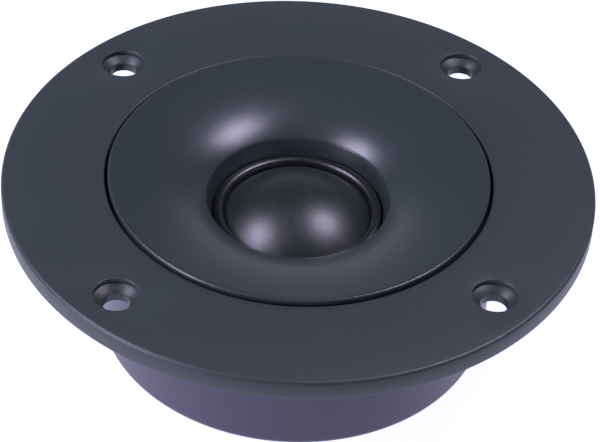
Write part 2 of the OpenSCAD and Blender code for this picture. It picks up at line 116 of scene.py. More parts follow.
def place_camera():
    """A camera that looks at the middle of the faceplate's front from the set angles."""
    turn = Matrix.Rotation(CAMERA_AZIMUTH, 3, "Z")
    away = Vector((0, -math.cos(CAMERA_ELEVATION), math.sin(CAMERA_ELEVATION)))
    right = Vector((1, 0, 0))
    up = right.cross(-away)
    aim = AIM_RIGHT * right + AIM_UP * up
    eye = CAMERA_DISTANCE * away
    forward = (aim - eye).normalized()
    level = forward.cross(Vector((0, 0, 1))).normalized()
    upright = level.cross(forward)
    across = math.cos(CAMERA_ROLL) * level + math.sin(CAMERA_ROLL) * upright
    above = math.cos(CAMERA_ROLL) * upright - math.sin(CAMERA_ROLL) * level
    axes = turn @ Matrix((across, above, -forward)).transposed()
    data = bpy.data.cameras.new("camera")
    data.lens = CAMERA_LENS
    data.sensor_width = 36
    data.clip_start = 0.01
    camera = bpy.data.objects.new("camera", data)
    place = turn @ eye + Vector((0, 0, plate_top))
    camera.matrix_world = Matrix.Translation(place * MM) @ axes.to_4x4()
    bpy.context.scene.collection.objects.link(camera)
    bpy.context.scene.camera = camera
    return camera


camera = place_camera()
print("camera at", [round(v / MM) for v in camera.matrix_world.translation], "mm")

# %% [markdown]
# ## Shader arithmetic
# A pattern is a sum, and it reads best as one. The class below wraps a node's output socket,
# so that Python's own operators add the Math nodes.

# %% Wrap sockets for arithmetic
def operator(kind, swapped=False):
    """A method that adds a Math node of a kind, with its two inputs swapped if asked."""
    def method(self, other=0.0):
        first, second = (other, self) if swapped else (self, other)
        return self.paint.node("ShaderNodeMath", {"operation": kind}, {0: first, 1: second})
    return method


class Value:
    """An output socket that can be added, multiplied and compared."""
    __add__, __radd__ = operator("ADD"), operator("ADD", swapped=True)
    __mul__, __rmul__ = operator("MULTIPLY"), operator("MULTIPLY", swapped=True)
    __rsub__ = operator("SUBTRACT", swapped=True)
    __truediv__ = operator("DIVIDE")
    __gt__ = operator("GREATER_THAN")
    __abs__ = operator("ABSOLUTE")
    sine = operator("SINE")

    def __init__(self, paint, socket):
        self.paint = paint
        self.socket = socket


class Paint:
    """A procedural material whose nodes are made by one method."""

    def __init__(self, name, **constants):
        self.material = bpy.data.materials.new(name)
        self.material.use_nodes = True
        self.tree = self.material.node_tree
        self.shader = self.tree.nodes["Principled BSDF"]
        for socket, value in constants.items():
            self.shader.inputs[socket.replace("_", " ")].default_value = value

    def node(self, kind, settings=None, inputs=None, output=0):
        """Adds a node with its settings, then its inputs, and returns one of its outputs."""
        node = self.tree.nodes.new(kind)
        for key, value in (settings or {}).items():
            setattr(node, key, value)
        for key, value in (inputs or {}).items():
            if isinstance(value, Value):
                self.tree.links.new(value.socket, node.inputs[key])
            else:
                node.inputs[key].default_value = value
        return Value(self, node.outputs[output])

    def feed(self, socket, value):
        """Links a value to one of the shader's own sockets."""
        self.tree.links.new(value.socket, self.shader.inputs[socket])

    def place(self):
        """The point on the object, in metres."""
        return self.node("ShaderNodeTexCoord", output="Object")

    def axes(self):
        """The x, y and z of the point, in millimetres."""
        split = self.node("ShaderNodeSeparateXYZ", None, {0: self.place()}).socket.node
        return [Value(self, split.outputs[i]) / MM for i in range(3)]

    def noise(self, grain, detail=2.0, rough=0.5, place=None):
        """Noise whose features are about grain millimetres across."""
        return self.node("ShaderNodeTexNoise", None, {
            "Vector": place or self.place(), "Scale": 1 / (grain * MM), "Detail": detail,
            "Roughness": rough})

    def mix(self, share, first, second):
        """A colour that goes from first to second as share goes from 0 to 1."""
        first, second = [c if isinstance(c, Value) else (*c, 1) for c in (first, second)]
        node = self.node("ShaderNodeMix", {"data_type": "RGBA"}, {0: share, 6: first, 7: second})
        return Value(self, node.socket.node.outputs[2])

    def relief(self, height, depth):
        """Turns a height from 0 to 1 into a relief of depth millimetres."""
        self.feed("Normal", self.node("ShaderNodeBump", None, {
            "Height": height, "Distance": depth * MM, "Strength": 1.0}))

    def dressed(self, share, colour, spread, roughness, pattern, wander, height, depth):
        """Feeds the colour, a roughness that wanders about its middle, and the relief."""
        darker, lighter = [[k * c for c in colour] for k in (1 - spread, 1 + spread)]
        self.feed("Base Color", self.mix(share, darker, lighter))
        self.feed("Roughness", roughness - wander / 2 + wander * pattern)
        self.relief(height, depth)
        return self.material


print("shader helpers ready")

# %% [markdown]
# ## Floor and light
# The tweeter lies on a white table that glows from below, a little bluish, so its rim and cup
# are lit softly from all round. Above it the studio is dark, apart from five soft boxes. Two
# high ones make the paired highlights on the lip and the dome, a weak one behind lightens the
# flare's near side, and two low ones pick out the rim and the cup.

# %% Build the stage
# The floor's sizes are in metres. It lies a hair below the cup, so that the two don't flicker.
FLOOR_SIZE = 4.0
FLOOR_DROP = 0.0002
FLOOR_COLOUR = (0.20, 0.20, 0.20)
FLOOR_ROUGHNESS = 0.8
FLOOR_GLOW = 0.97
FLOOR_TINT = (0.99, 0.97, 1.35)
GLOW_BEHIND = 0.06
GLOW_INNER = 0.11
GLOW_OUTER = 0.19
GLOW_FAR_AWAY = 0.15
LIGHT_DISTANCE = 0.62
LIGHT_COLOUR = (0.80, 0.73, 1.0)
HORIZON_COLOUR = (0.76, 0.84, 1.0)
HORIZON_STRENGTH = 0.65
HORIZON_HEIGHT = 0.5
OVERHEAD_STRENGTH = 0.03
# name, azimuth and elevation in degrees, width and height in metres, power in watts
SOFT_BOXES = (
    ("high_left", 184, 48, 0.26, 0.22, 3.5),
    ("high_right", 12, 60, 0.22, 0.22, 3.0),
    ("low_behind", 90, 14, 0.50, 0.20, 0.12),
    ("low_left", 209, 9, 0.14, 0.10, 2.6),
    ("low_right", -20, 8, 0.12, 0.10, 0.2),
)
bpy.context.scene.view_settings.view_transform = "Standard"


def add_floor():
    """A white table whose glow fades outwards."""
    bm = bmesh.new()
    bmesh.ops.create_grid(bm, x_segments=1, y_segments=1, size=FLOOR_SIZE / 2)
    bmesh.ops.translate(bm, verts=bm.verts, vec=(0, 0, cup_back * MM - FLOOR_DROP))
    mesh = bpy.data.meshes.new("floor")
    bm.to_mesh(mesh)
    bm.free()
    paint = Paint("floor_white", Base_Color=(*FLOOR_COLOUR, 1), Roughness=FLOOR_ROUGHNESS,
                  Emission_Strength=FLOOR_GLOW)
    reach = paint.node("ShaderNodeVectorMath", {"operation": "DISTANCE"}, {
        0: paint.place(), 1: (0, GLOW_BEHIND, cup_back * MM)}, "Value")
    fade = paint.node("ShaderNodeMapRange", {"interpolation_type": "SMOOTHSTEP"}, {
        "Value": reach, "From Min": GLOW_INNER, "From Max": GLOW_OUTER, "To Min": 1.0,
        "To Max": GLOW_FAR_AWAY})
    paint.feed("Emission Color", paint.node(
        "ShaderNodeVectorMath", {"operation": "SCALE"}, {0: FLOOR_TINT, "Scale": fade}))
    mesh.materials.append(paint.material)
    floor = bpy.data.objects.new("floor", mesh)
    bpy.context.scene.collection.objects.link(floor)


def add_soft_box(name, azimuth, elevation, width, height, power):
    """An area light that faces the dome from a compass angle and a height."""
    data = bpy.data.lights.new(name, "AREA")
    data.shape = "RECTANGLE"
    data.size = width
    data.size_y = height
    data.energy = power
    data.color = LIGHT_COLOUR
    azimuth, elevation = math.radians(azimuth), math.radians(elevation)
    towards = Vector((
        math.cos(elevation) * math.cos(azimuth),
        math.cos(elevation) * math.sin(azimuth),
        math.sin(elevation),
    ))
    light = bpy.data.objects.new(name, data)
    light.location = towards * LIGHT_DISTANCE
    light.rotation_euler = towards.to_track_quat("Z", "Y").to_euler()
    bpy.context.scene.collection.objects.link(light)


def add_studio():
    """Surroundings that are brighter at the horizon and dark overhead."""
    world = bpy.data.worlds.new("studio")
    world.use_nodes = True
    tree, link = world.node_tree, world.node_tree.links.new
    split = tree.nodes.new("ShaderNodeSeparateXYZ")
    fade = tree.nodes.new("ShaderNodeMapRange")
    fade.interpolation_type = "SMOOTHSTEP"
    for socket, value in (("From Max", HORIZON_HEIGHT), ("To Min", HORIZON_STRENGTH),
                          ("To Max", OVERHEAD_STRENGTH)):
        fade.inputs[socket].default_value = value
    background = tree.nodes["Background"]
    background.inputs["Color"].default_value = (*HORIZON_COLOUR, 1)
    link(tree.nodes.new("ShaderNodeTexCoord").outputs["Generated"], split.inputs[0])
    link(split.outputs["Z"], fade.inputs["Value"])
    link(fade.outputs["Result"], background.inputs["Strength"])
    bpy.context.scene.world = world


add_floor()
for soft_box in SOFT_BOXES:
    add_soft_box(*soft_box)
add_studio()
print("floor at", round(cup_back, 2), "mm, with", len(SOFT_BOXES), "soft boxes")

# %% [markdown]
# ## Moulded plastic
# The faceplate and the flare are moulded in a dark, slightly blue grey. The tool's surface is
# spark-eroded, which leaves a fine random grain: under a soft light it reads as a matt sheen
# with a little sparkle. Two sizes of noise make the relief, and a wide, faint noise keeps the
# colour from looking printed on.

# %% Mix the moulded plastics
def moulded(name, colour, roughness, grain, depth, spread=0.12, coat=0.0):
    """A spark-eroded moulding in one colour."""
    paint = Paint(name, Coat_Weight=coat, Coat_Roughness=0.35)
    fine = paint.noise(grain, 3.0, 0.6)
    broad = paint.noise(9.0)
    return paint.dressed(0.55 * fine + 0.45 * broad, colour, spread,
                         roughness, pattern=fine, wander=0.12, height=fine, depth=depth)


paints = {
    "moulded_faceplate": moulded("moulded_faceplate", (0.0270, 0.0385, 0.0370), 0.44, 0.35, 0.03),
    "moulded_flare": moulded("moulded_flare", (0.0265, 0.0375, 0.0370), 0.30, 0.35, 0.012),
    "cup_plastic": moulded("cup_plastic", (0.034, 0.031, 0.056), 0.38, 0.45, 0.015),
    "carrier_plastic": moulded("carrier_plastic", (0.022, 0.023, 0.026), 0.38, 0.5, 0.01, 0.3),
    "lead_red": moulded("lead_red", (0.30, 0.022, 0.018), 0.35, 0.6, 0.003, 0.08, 0.3),
    "lead_black": moulded("lead_black", (0.018, 0.018, 0.02), 0.35, 0.6, 0.003, 0.08, 0.3),
}
print(len(paints), "moulded plastics")

# %% [markdown]
# ## Dome and surround cloth
# The dome is a fine woven cloth, pressed to shape and coated, so the weave shows only as a
# faint grid in the highlights. The grid runs straight across the dome, because the cloth was
# flat when it went into the press.

# %% Mix the cloth
def coated_cloth(name, colour, roughness, pitch, depth):
    """A pressed plain weave under a soft coating."""
    paint = Paint(name, Sheen_Weight=0.03, Sheen_Roughness=0.4, Specular_IOR_Level=0.7)
    x, y, _ = paint.axes()
    warp = (x * (math.pi / pitch)).sine()
    weft = (y * (math.pi / pitch)).sine()
    over = (warp * weft) > 0.0
    threads = over * abs(warp) + (1 - over) * abs(weft)
    blotch = paint.noise(1.6, 3.0)
    return paint.dressed(0.35 * threads + 0.65 * blotch, colour, 0.2,
                         roughness, pattern=blotch, wander=0.12,
                         height=threads * 0.6 + blotch * 0.4, depth=depth)


paints["dome_fabric"] = coated_cloth("dome_fabric", (0.008, 0.015, 0.011), 0.37, 0.32, 0.009)
paints["surround_fabric"] = coated_cloth(
    "surround_fabric", (0.006, 0.009, 0.008), 0.34, 0.32, 0.004)

# %% [markdown]
# ## Metals
# Plated steel is pressed, then tumbled and plated, which leaves a fine wandering grain and
# slightly duller patches. Copper and brass tarnish unevenly, so their colour wanders too. The
# enamel on the wire is a clear coat over the copper.

# %% Mix the metals
METAL_GRAIN = 0.18
METAL_PATCH = 3.5
METAL_RELIEF = 0.004


def metal(name, colour, roughness, spread=0.12, streak=1.0, coat=0.0):
    """A metal with fine grain that may be drawn out along z, and duller patches."""
    paint = Paint(name, Metallic=1.0, Coat_Weight=coat, Coat_Roughness=0.1)
    drawn = paint.node("ShaderNodeMapping", None, {
        "Vector": paint.place(), "Scale": (1.0, 1.0, 1 / streak)})
    grain = paint.noise(METAL_GRAIN, 4.0, 0.7, drawn)
    patches = paint.noise(METAL_PATCH)
    return paint.dressed(patches, colour, spread,
                         roughness, pattern=0.6 * grain + 0.5 * patches, wander=0.2,
                         height=grain, depth=METAL_RELIEF)


paints |= {
    "plated_steel": metal("plated_steel", (0.60, 0.61, 0.62), 0.34),
    "screw_steel": metal("screw_steel", (0.50, 0.51, 0.53), 0.30),
    "tinned_brass": metal("tinned_brass", (0.66, 0.63, 0.55), 0.30, 0.08),
    "rivet_metal": metal("rivet_metal", (0.70, 0.66, 0.56), 0.26, 0.06),
    "former_foil": metal("former_foil", (0.78, 0.79, 0.80), 0.32, 0.05, 6.0),
    "cap_copper": metal("cap_copper", (0.78, 0.36, 0.20), 0.30, 0.2),
    "coil_wire": metal("coil_wire", (0.66, 0.27, 0.13), 0.28, 0.1, 1.0, 0.8),
}
print(len(paints), "paints so far")

# %% [markdown]
# ## Ferrite, foam, felt and board
# Ferrite is a pressed and fired powder: matt, almost black, with tiny pits. Foam is a heap of
# round cells, felt a mat of fibres, and the terminal board is paper in brown resin, whose
# fibres show as faint streaks under a gloss.

# %% Mix the rest
def celled(name, colour, roughness, cell, depth):
    """Foam, or a pitted surface, whose cells are about cell millimetres across."""
    paint = Paint(name, Specular_IOR_Level=0.3)
    cells = paint.node("ShaderNodeTexVoronoi", None, {
        "Vector": paint.place(), "Scale": 1 / (cell * MM)})
    broad = paint.noise(5 * cell)
    return paint.dressed(0.7 * cells + 0.3 * broad, colour, 0.4,
                         roughness, pattern=broad, wander=0.1, height=cells, depth=depth)


def fibrous(name, colour, roughness, length, width, depth, coat=0.0):
    """Fibres that cross at right angles, of about the given length and width."""
    paint = Paint(name, Coat_Weight=coat, Coat_Roughness=0.15, Sheen_Weight=0.3 * (1 - coat))
    scales = [(1 / length, 1 / width, 1 / width), (1 / width, 1 / length, 1 / width)]
    mats = []
    for scale in scales:
        stretched = paint.node("ShaderNodeMapping", None, {
            "Vector": paint.place(), "Scale": [s / MM for s in scale]})
        mats.append(paint.node("ShaderNodeTexNoise", None, {
            "Vector": stretched, "Scale": 1.0, "Detail": 2.0}))
    mat = 0.5 * (mats[0] + mats[1])
    return paint.dressed(mat, colour, 0.45,
                         roughness, pattern=mat, wander=0.1, height=mat, depth=depth)


paints |= {
    "ferrite": celled("ferrite", (0.030, 0.030, 0.032), 0.55, 0.25, 0.01),
    "gasket_foam": celled("gasket_foam", (0.022, 0.022, 0.023), 0.85, 0.3, 0.05),
    "open_foam": celled("open_foam", (0.075, 0.077, 0.082), 0.95, 0.7, 0.25),
    "wool_felt": fibrous("wool_felt", (0.20, 0.20, 0.205), 0.95, 1.6, 0.12, 0.08),
    "board_laminate": fibrous("board_laminate", (0.15, 0.075, 0.035), 0.4, 2.5, 0.15, 0.004, 0.6),
}
missing = set(slot_of.values()) - set(paints)
print(len(paints), "paints, missing", sorted(missing))

# %% [markdown]
# ## Turned pieces
# Almost everything in a tweeter is round. A piece is turned from a profile of radius and
# height, as on a lathe: the profile is spun about the axis, and the rings at its corners are
# then bevelled. A curve in the profile is worked out from its own formula.

# %% Turning and bevelling
ROUND_STEPS = 192
FINE_STEPS = 256
HOLE_STEPS = 48
SMALL_STEPS = 24
TINY = 1e-4
CORNER_REACH = 0.01


def turned(profile, steps=ROUND_STEPS, closed=True, bm=None, centre=(0, 0)):
    """Spins a profile of (radius, height) points about a vertical axis."""
    bm = bm or bmesh.new()
    cx, cy = centre
    verts = [bm.verts.new((cx + r, cy, z)) for r, z in profile]
    pairs = zip(verts, verts[1:] + verts[:1] if closed else verts[1:])
    edges = [bm.edges.new(pair) for pair in pairs]
    bmesh.ops.spin(
        bm, geom=verts + edges, cent=(cx, cy, 0), axis=(0, 0, 1), dvec=(0, 0, 0),
        angle=math.tau, steps=steps, use_merge=True, use_normal_flip=False, use_duplicate=False)
    bmesh.ops.remove_doubles(bm, verts=bm.verts, dist=TINY)
    return bm


def ring_section(inner, outer, low, high):
    """The section of a plain ring, as four corners."""
    return [(inner, low), (outer, low), (outer, high), (inner, high)]


def arc(centre, radius, start, end, steps):
    """Points along an arc, with its angles in degrees."""
    angles = [math.radians(start + (end - start) * i / steps) for i in range(steps + 1)]
    return [(centre[0] + radius * math.cos(a), centre[1] + radius * math.sin(a)) for a in angles]


def bevel_edges(bm, edges, width, segments):
    """Rounds edges, or chamfers them when there is one segment."""
    bmesh.ops.bevel(
        bm, geom=edges, offset=width, offset_type="OFFSET", segments=segments, profile=0.5,
        affect="EDGES", material=-1, clamp_overlap=True)


def bevel_rings(bm, rings, width, segments=3):
    """Bevels the circular edges that pass through the given (radius, height) points."""
    def on_ring(vert):
        here = math.hypot(vert.co.x, vert.co.y)
        return any(math.dist((here, vert.co.z), ring) < CORNER_REACH for ring in rings)

    bevel_edges(bm, [e for e in bm.edges if all(on_ring(v) for v in e.verts)
                     and abs(e.verts[0].co.z - e.verts[1].co.z) < TINY], width, segments)


def finish_piece(bm, name, node, body="frame", sharp=35):
    """Turns a bmesh in millimetres into a piece in metres that stands for a CAD node."""
    bmesh.ops.recalc_face_normals(bm, faces=bm.faces)
    bmesh.ops.scale(bm, vec=(MM, MM, MM), verts=bm.verts)
    mesh = bpy.data.meshes.new(name)
    bm.to_mesh(mesh)
    bm.free()
    mesh.shade_smooth()
    mesh.set_sharp_from_angle(angle=math.radians(sharp))
    mesh.materials.append(paints[slot_of[node]])
    piece = bpy.data.objects.new(name, mesh)
    bpy.context.scene.collection.objects.link(piece)
    if body:
        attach(piece, body)
    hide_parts(node)
    print(f"{name}: {len(mesh.polygons)} faces")
    return piece


# %% [markdown]
# ## Drilling and cutting
# A screw hole in a flat face could be cut with a boolean. Here the flat is taken off, each
# hole's lining is turned about the hole's own axis, and the flat is filled in again between
# the rings. The flat stays truly flat, and every edge of the hole keeps its own round. Slots
# and cross holes, which can't be made that way, are cut with booleans.

# %% Drilling and cutting helpers
def strip_flat(bm, z, inner, outer):
    """Takes off the flat ring at height z between two radii."""
    def in_flat(face):
        middle = face.calc_center_median()
        reach = math.hypot(middle.x, middle.y)
        return abs(face.normal.z) > 0.999 and abs(middle.z - z) < TINY and inner < reach < outer

    bmesh.ops.delete(bm, geom=[f for f in bm.faces if in_flat(f)], context="FACES_ONLY")
    bmesh.ops.delete(bm, geom=[e for e in bm.edges if not e.link_faces], context="EDGES")


def fill_between(bm, edges):
    """Fills the flat shape between closed rings of edges."""
    bmesh.ops.triangle_fill(bm, edges=edges, use_beauty=True, use_dissolve=False, normal=(0, 0, 1))


def fill_flat(bm, z):
    """Fills the flat at height z between all the open rings that lie in it."""
    fill_between(bm, [
        e for e in bm.edges if e.is_boundary and all(abs(v.co.z - z) < TINY for v in e.verts)])


def drill(bm, flats, holes):
    """Strips the (z, inner, outer) flats, lines the (profile, places) holes, fills the flats."""
    bmesh.ops.recalc_face_normals(bm, faces=bm.faces)
    for flat in flats:
        strip_flat(bm, *flat)
    for lining, places in holes:
        for place in places:
            turned(lining, HOLE_STEPS, closed=False, bm=bm, centre=place)
    for z in sorted({flat[0] for flat in flats}):
        fill_flat(bm, z)


def ring_places(radius, angles):
    """Points on a circle, with the angles in degrees."""
    return [(radius * math.cos(math.radians(a)), radius * math.sin(math.radians(a)))
            for a in angles]


def cut(bm, cutters, operation="DIFFERENCE"):
    """Cuts other bmeshes out of a bmesh, or joins them to it, and returns the result."""
    objects = []
    for part in (bm, *cutters):
        bmesh.ops.recalc_face_normals(part, faces=part.faces)
        mesh = bpy.data.meshes.new("cut")
        part.to_mesh(mesh)
        part.free()
        objects.append(bpy.data.objects.new("cut", mesh))
        bpy.context.scene.collection.objects.link(objects[-1])
    for other in objects[1:]:
        modifier = objects[0].modifiers.new("cut", "BOOLEAN")
        modifier.object = other
        modifier.operation = operation
        modifier.solver = "EXACT"
    graph = bpy.context.evaluated_depsgraph_get()
    result = bmesh.new()
    result.from_mesh(objects[0].evaluated_get(graph).data)
    for thing in objects:
        bpy.data.objects.remove(thing)
    return result


def block(low, high):
    """A box from its two corners."""
    bm = bmesh.new()
    size = [h - l for l, h in zip(low, high)]
    middle = [(h + l) / 2 for l, h in zip(low, high)]
    bmesh.ops.create_cube(bm, size=1.0, matrix=Matrix.LocRotScale(middle, None, size))
    return bm


# %% [markdown]
# ## The faceplate
# The real part is one moulding: a flat screw ring, a step that the flare sits on, and a deep
# floor that the motor is screwed to. It is turned from its section, its corners are bevelled,
# and the screw holes are drilled with their head recess and cone.

# %% Build the faceplate
FLARE_GAP = 0.55
FLARE_SEAT_W = 1.65
SEAT_DEPTH = 2.3
FLOOR_T = 2.0
SPIGOT_WALL = 1.6
GASKET_W = 3.0
FRONT_EDGE_R = 0.6
BACK_EDGE = 0.3
OPENING_EDGE = 0.3
SCREW_CIRCLE_R = frame["record"]["mounts"][0]["dims"]["pcd_mm"] / 2
SCREW_HOLE_R = frame["record"]["mounts"][0]["dims"]["hole_r_mm"]
RECESS_R = 3.7
RECESS_DEPTH = 1.0
RECESS_LIP_R = 0.18
CONE_DEPTH = 1.8
CONE_SOFTENING = 0.06
CONE_END = 0.1
HOLE_BREAK = 0.15
M3_FREE_R = 1.65
LEAD_HOLE_R = 0.75
LEAD_INWARD = 0.35
FLOOR_HOLE_CLEAR = 0.25
MOTOR_SCREW_OUT = 3.0
FOUR_CORNERS = (45, 135, 225, 315)
gasket_r, _, gasket_top = size_of("panel_gasket")
gasket_inner = gasket_r - GASKET_W
opening_r = flare_r + FLARE_GAP
spigot_inner = flare_r - FLARE_SEAT_W
spigot_r = spigot_inner + SPIGOT_WALL
seat_z = plate_top - SEAT_DEPTH
floor_top = plate_low + FLOOR_T
floor_hole_r = carrier_r + FLOOR_HOLE_CLEAR
motor_screw_circle = floor_hole_r + MOTOR_SCREW_OUT
lead_y = (y_at(size_of("magnet_ring")[0]) + y_at(spigot_inner)) / 2 - LEAD_INWARD


def build_faceplate():
    """The screw ring, the flare's seat and the floor, as one moulding."""
    section = [
        (floor_hole_r, plate_low), (spigot_r, plate_low), (spigot_r, 0),
        (gasket_inner, 0), (gasket_inner, gasket_top),
        (gasket_r, gasket_top), (gasket_r, 0),
        (plate_r, 0), (plate_r, plate_top), (opening_r, plate_top),
        (opening_r, seat_z), (spigot_inner, seat_z),
        (spigot_inner, floor_top), (floor_hole_r, floor_top),
    ]
    bm = turned(section, FINE_STEPS)
    bevel_rings(bm, [(plate_r, plate_top)], FRONT_EDGE_R, 5)
    bevel_rings(bm, [(plate_r, 0), (spigot_r, plate_low)], BACK_EDGE)
    bevel_rings(bm, [(opening_r, plate_top)], OPENING_EDGE)
    soft, recess_z, cone_z = CONE_SOFTENING, plate_top - RECESS_DEPTH, plate_top - CONE_DEPTH
    screw_lining = (
        arc((RECESS_R + RECESS_LIP_R, plate_top - RECESS_LIP_R), RECESS_LIP_R, 90, 180, 3)
        + [(RECESS_R, recess_z), (RECESS_R - 2 * soft, recess_z - soft),
           (SCREW_HOLE_R + CONE_END, cone_z + soft), (SCREW_HOLE_R, cone_z - soft),
           (SCREW_HOLE_R, HOLE_BREAK), (SCREW_HOLE_R + HOLE_BREAK, 0)])
    motor_lining = [(M3_FREE_R, floor_top), (M3_FREE_R, plate_low)]
    lead_lining = [(LEAD_HOLE_R, floor_top), (LEAD_HOLE_R, plate_low)]
    drill(bm, [
        (plate_top, opening_r, plate_r), (0, gasket_r, plate_r),
        (floor_top, floor_hole_r, spigot_inner), (plate_low, floor_hole_r, spigot_r),
    ], [
        (screw_lining, ring_places(SCREW_CIRCLE_R, FOUR_CORNERS)),
        (motor_lining, ring_places(motor_screw_circle, FOUR_CORNERS)),
        (lead_lining, [(x, lead_y) for x in TERMINALS]),
    ])
    finish_piece(bm, "faceplate_moulding", "faceplate")


build_faceplate()

# %% [markdown]
# ## The flare
# The flare is a separate dished disc that stands a little proud of the faceplate, inside a
# narrow gap. Its face falls away more and more steeply towards the throat: an exponential
# gives that slope, a small arc turns it over the lip, and a short cone leads to the dome.

# %% Build the flare
FLARE_WALL = 1.9
FLARE_LENGTH = 4.65
LIP_R = 0.8
LIP_SLOPE = math.radians(40)
THROAT_SLOPE = math.radians(74)
THROAT_H = 2.86
FOOT_W = 3.0
RIM_EDGE = 0.35
FACE_STEPS = 40
FACE_BUNCHING = 1.3
UNDER_STEPS = 16
RIM_OVERLAP = 0.1
foot_r = size_of("throat_gasket")[0]
throat_r = foot_r - FOOT_W


def flare_curve():
    """The face from the rim to the bottom of the throat, and a function for its height."""
    slope = math.tan(LIP_SLOPE)
    top_r = (throat_r + THROAT_H / math.tan(THROAT_SLOPE)
             + LIP_R * (math.sin(THROAT_SLOPE) - math.sin(LIP_SLOPE)))
    top_z = flare_low + THROAT_H + LIP_R * (math.cos(LIP_SLOPE) - math.cos(THROAT_SLOPE))
    width = flare_r - RIM_EDGE - top_r
    fade = FLARE_LENGTH * (1 - math.exp(-width / FLARE_LENGTH))
    mouth = (flare_top - top_z - slope * fade) / (width - fade)

    def height(r):
        s = r - top_r
        return top_z + mouth * s + (slope - mouth) * FLARE_LENGTH * (
            1 - math.exp(-s / FLARE_LENGTH))

    shares = [(1 - i / FACE_STEPS) ** FACE_BUNCHING for i in range(FACE_STEPS)]
    face = [(r, height(r)) for r in (top_r + width * share for share in shares)]
    centre = (top_r + LIP_R * math.sin(LIP_SLOPE), top_z - LIP_R * math.cos(LIP_SLOPE))
    lip = arc(centre, LIP_R, 90 + math.degrees(LIP_SLOPE), 90 + math.degrees(THROAT_SLOPE), 10)
    return face + lip + [(throat_r, flare_low)], height


def build_flare():
    """The dished face, with its underside a wall's thickness below it."""
    face, height = flare_curve()
    rim_inner = spigot_inner + RIM_OVERLAP
    radii = [foot_r + (rim_inner - foot_r) * i / UNDER_STEPS for i in range(UNDER_STEPS + 1)]
    under = [(r, height(r) - FLARE_WALL) for r in radii]
    rim = arc((flare_r - RIM_EDGE, flare_top - RIM_EDGE), RIM_EDGE, 0, 80, 4)
    section = rim + face + [(foot_r, flare_low)] + under + [(rim_inner, seat_z), (flare_r, seat_z)]
    finish_piece(turned(section, FINE_STEPS), "flare_moulding", "flare")


build_flare()

# %% [markdown]
# ## The dome
# The dome is a thin shell, part of a sphere. Its cloth is as thick as real coated silk, and its
# edge is cut flat where it is glued to the voice coil.

# %% Build the dome
DOME_T = 0.3


def build_dome():
    """Two parts of spheres with one centre, joined by the cut edge."""
    rise = dome_top - dome_low
    ball_r = (dome_r ** 2 + rise ** 2) / (2 * rise)
    centre = (0, dome_top - ball_r)
    edges = [math.degrees(math.asin((dome_low - centre[1]) / r)) for r in (ball_r, ball_r - DOME_T)]
    outside = arc(centre, ball_r, edges[0], 90, 48)
    inside = arc(centre, ball_r - DOME_T, 90, edges[1], 40)
    outside[-1], inside[0] = (0, outside[-1][1]), (0, inside[0][1])
    bm = turned(outside, closed=False)
    turned([outside[0], inside[-1]], closed=False, bm=bm)
    turned(inside, closed=False, bm=bm)
    finish_piece(bm, "dome_cloth", "dome", "diaphragm")


build_dome()

# %% [markdown]
# ## The surround
# A half roll of the same cloth lets the dome move. Its inner leg is glued to the coil former and
# its flat edge to the carrier ring. When the dome moves, the inner leg moves with it and the
# outer edge stays. The roll is made as two rings that meet at the crest.

# %% Build the surround
ROLL_T = 0.25
LAND_T = 0.2
LAND_EDGE_R = 0.08
ROLL_R = 1.0
ROLL_CLEAR = 0.02
ROLL_FOOT = 0.06
LEG_OVERLAP = 0.1
surround_r, _, crest_z = size_of("surround")
roll_z = carrier_top + LAND_T / 2
roll_r = dome_r + ROLL_CLEAR + ROLL_R


def build_surround():
    """The roll's two halves, which meet at the crest."""
    outer_side = (
        arc((roll_r, roll_z), ROLL_R, 90, 0, 24)
        + [(roll_r + ROLL_R + ROLL_FOOT, carrier_top + LAND_T)]
        + arc((surround_r - LAND_EDGE_R, carrier_top + LAND_T - LAND_EDGE_R),
              LAND_EDGE_R, 90, 0, 3)
        + [(surround_r, carrier_top), (roll_r + ROLL_R - ROLL_T, carrier_top)]
        + arc((roll_r, roll_z), ROLL_R - ROLL_T, 0, 90, 24))
    inner_side = (
        arc((roll_r, roll_z), ROLL_R, 90, 180, 24)
        + [(dome_r, roll_z), (dome_r, dome_low - LEG_OVERLAP),
           (dome_r + ROLL_T, dome_low - LEG_OVERLAP), (dome_r + ROLL_T, roll_z - 0.1)]
        + arc((roll_r, roll_z), ROLL_R - ROLL_T, 180, 90, 24))
    still = finish_piece(turned(outer_side), "surround_outer_half", "surround", None)
    moving = finish_piece(turned(inner_side), "surround_inner_half", "surround", None)
    for piece, fixed, free in ((still, roll_z, 2 * crest_z - roll_z),
                               (moving, 2 * crest_z - dome_low, dome_low)):
        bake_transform(piece)


build_surround()

# %% [markdown]
# ## Voice coil
# The former is a thin aluminium tube. Two layers of enamelled wire are wound on it: the section
# of the winding follows the round of each turn, so that it glints like a spring.

# %% Build the voice coil
WIRE_D = 0.175
FORMER_T = 0.1
former_r, former_low, former_top = size_of("voice_coil_former")
winding_r, winding_low, winding_top = size_of("voice_coil_winding")


def build_voice_coil():
    """The foil tube, and the winding with one ridge for each turn."""
    finish_piece(turned(ring_section(former_r - FORMER_T, former_r, former_low, former_top)),
                 "coil_former", "voice_coil_former", "diaphragm")
    turns = round((winding_top - winding_low) / WIRE_D)
    pitch = (winding_top - winding_low) / turns
    ridges = []
    for i in range(turns):
        middle = (winding_r - pitch / 2, winding_low + (i + 0.5) * pitch)
        ridges += arc(middle, pitch / 2, -75, 75, 4)
    section = [(former_r, winding_low)] + ridges + [(former_r, winding_top)]
    finish_piece(turned(section), "coil_winding", "voice_coil_winding", "diaphragm", sharp=80)


build_voice_coil()

# %% [markdown]
# ## Motor
# A ferrite ring is clamped between a steel washer and a steel plate, and a vented pole stands
# up through them. A thin copper cap on the pole keeps the coil's inductance down. The pressed
# plates have broken edges, and the ferrite has the wide chamfers of a fired part.

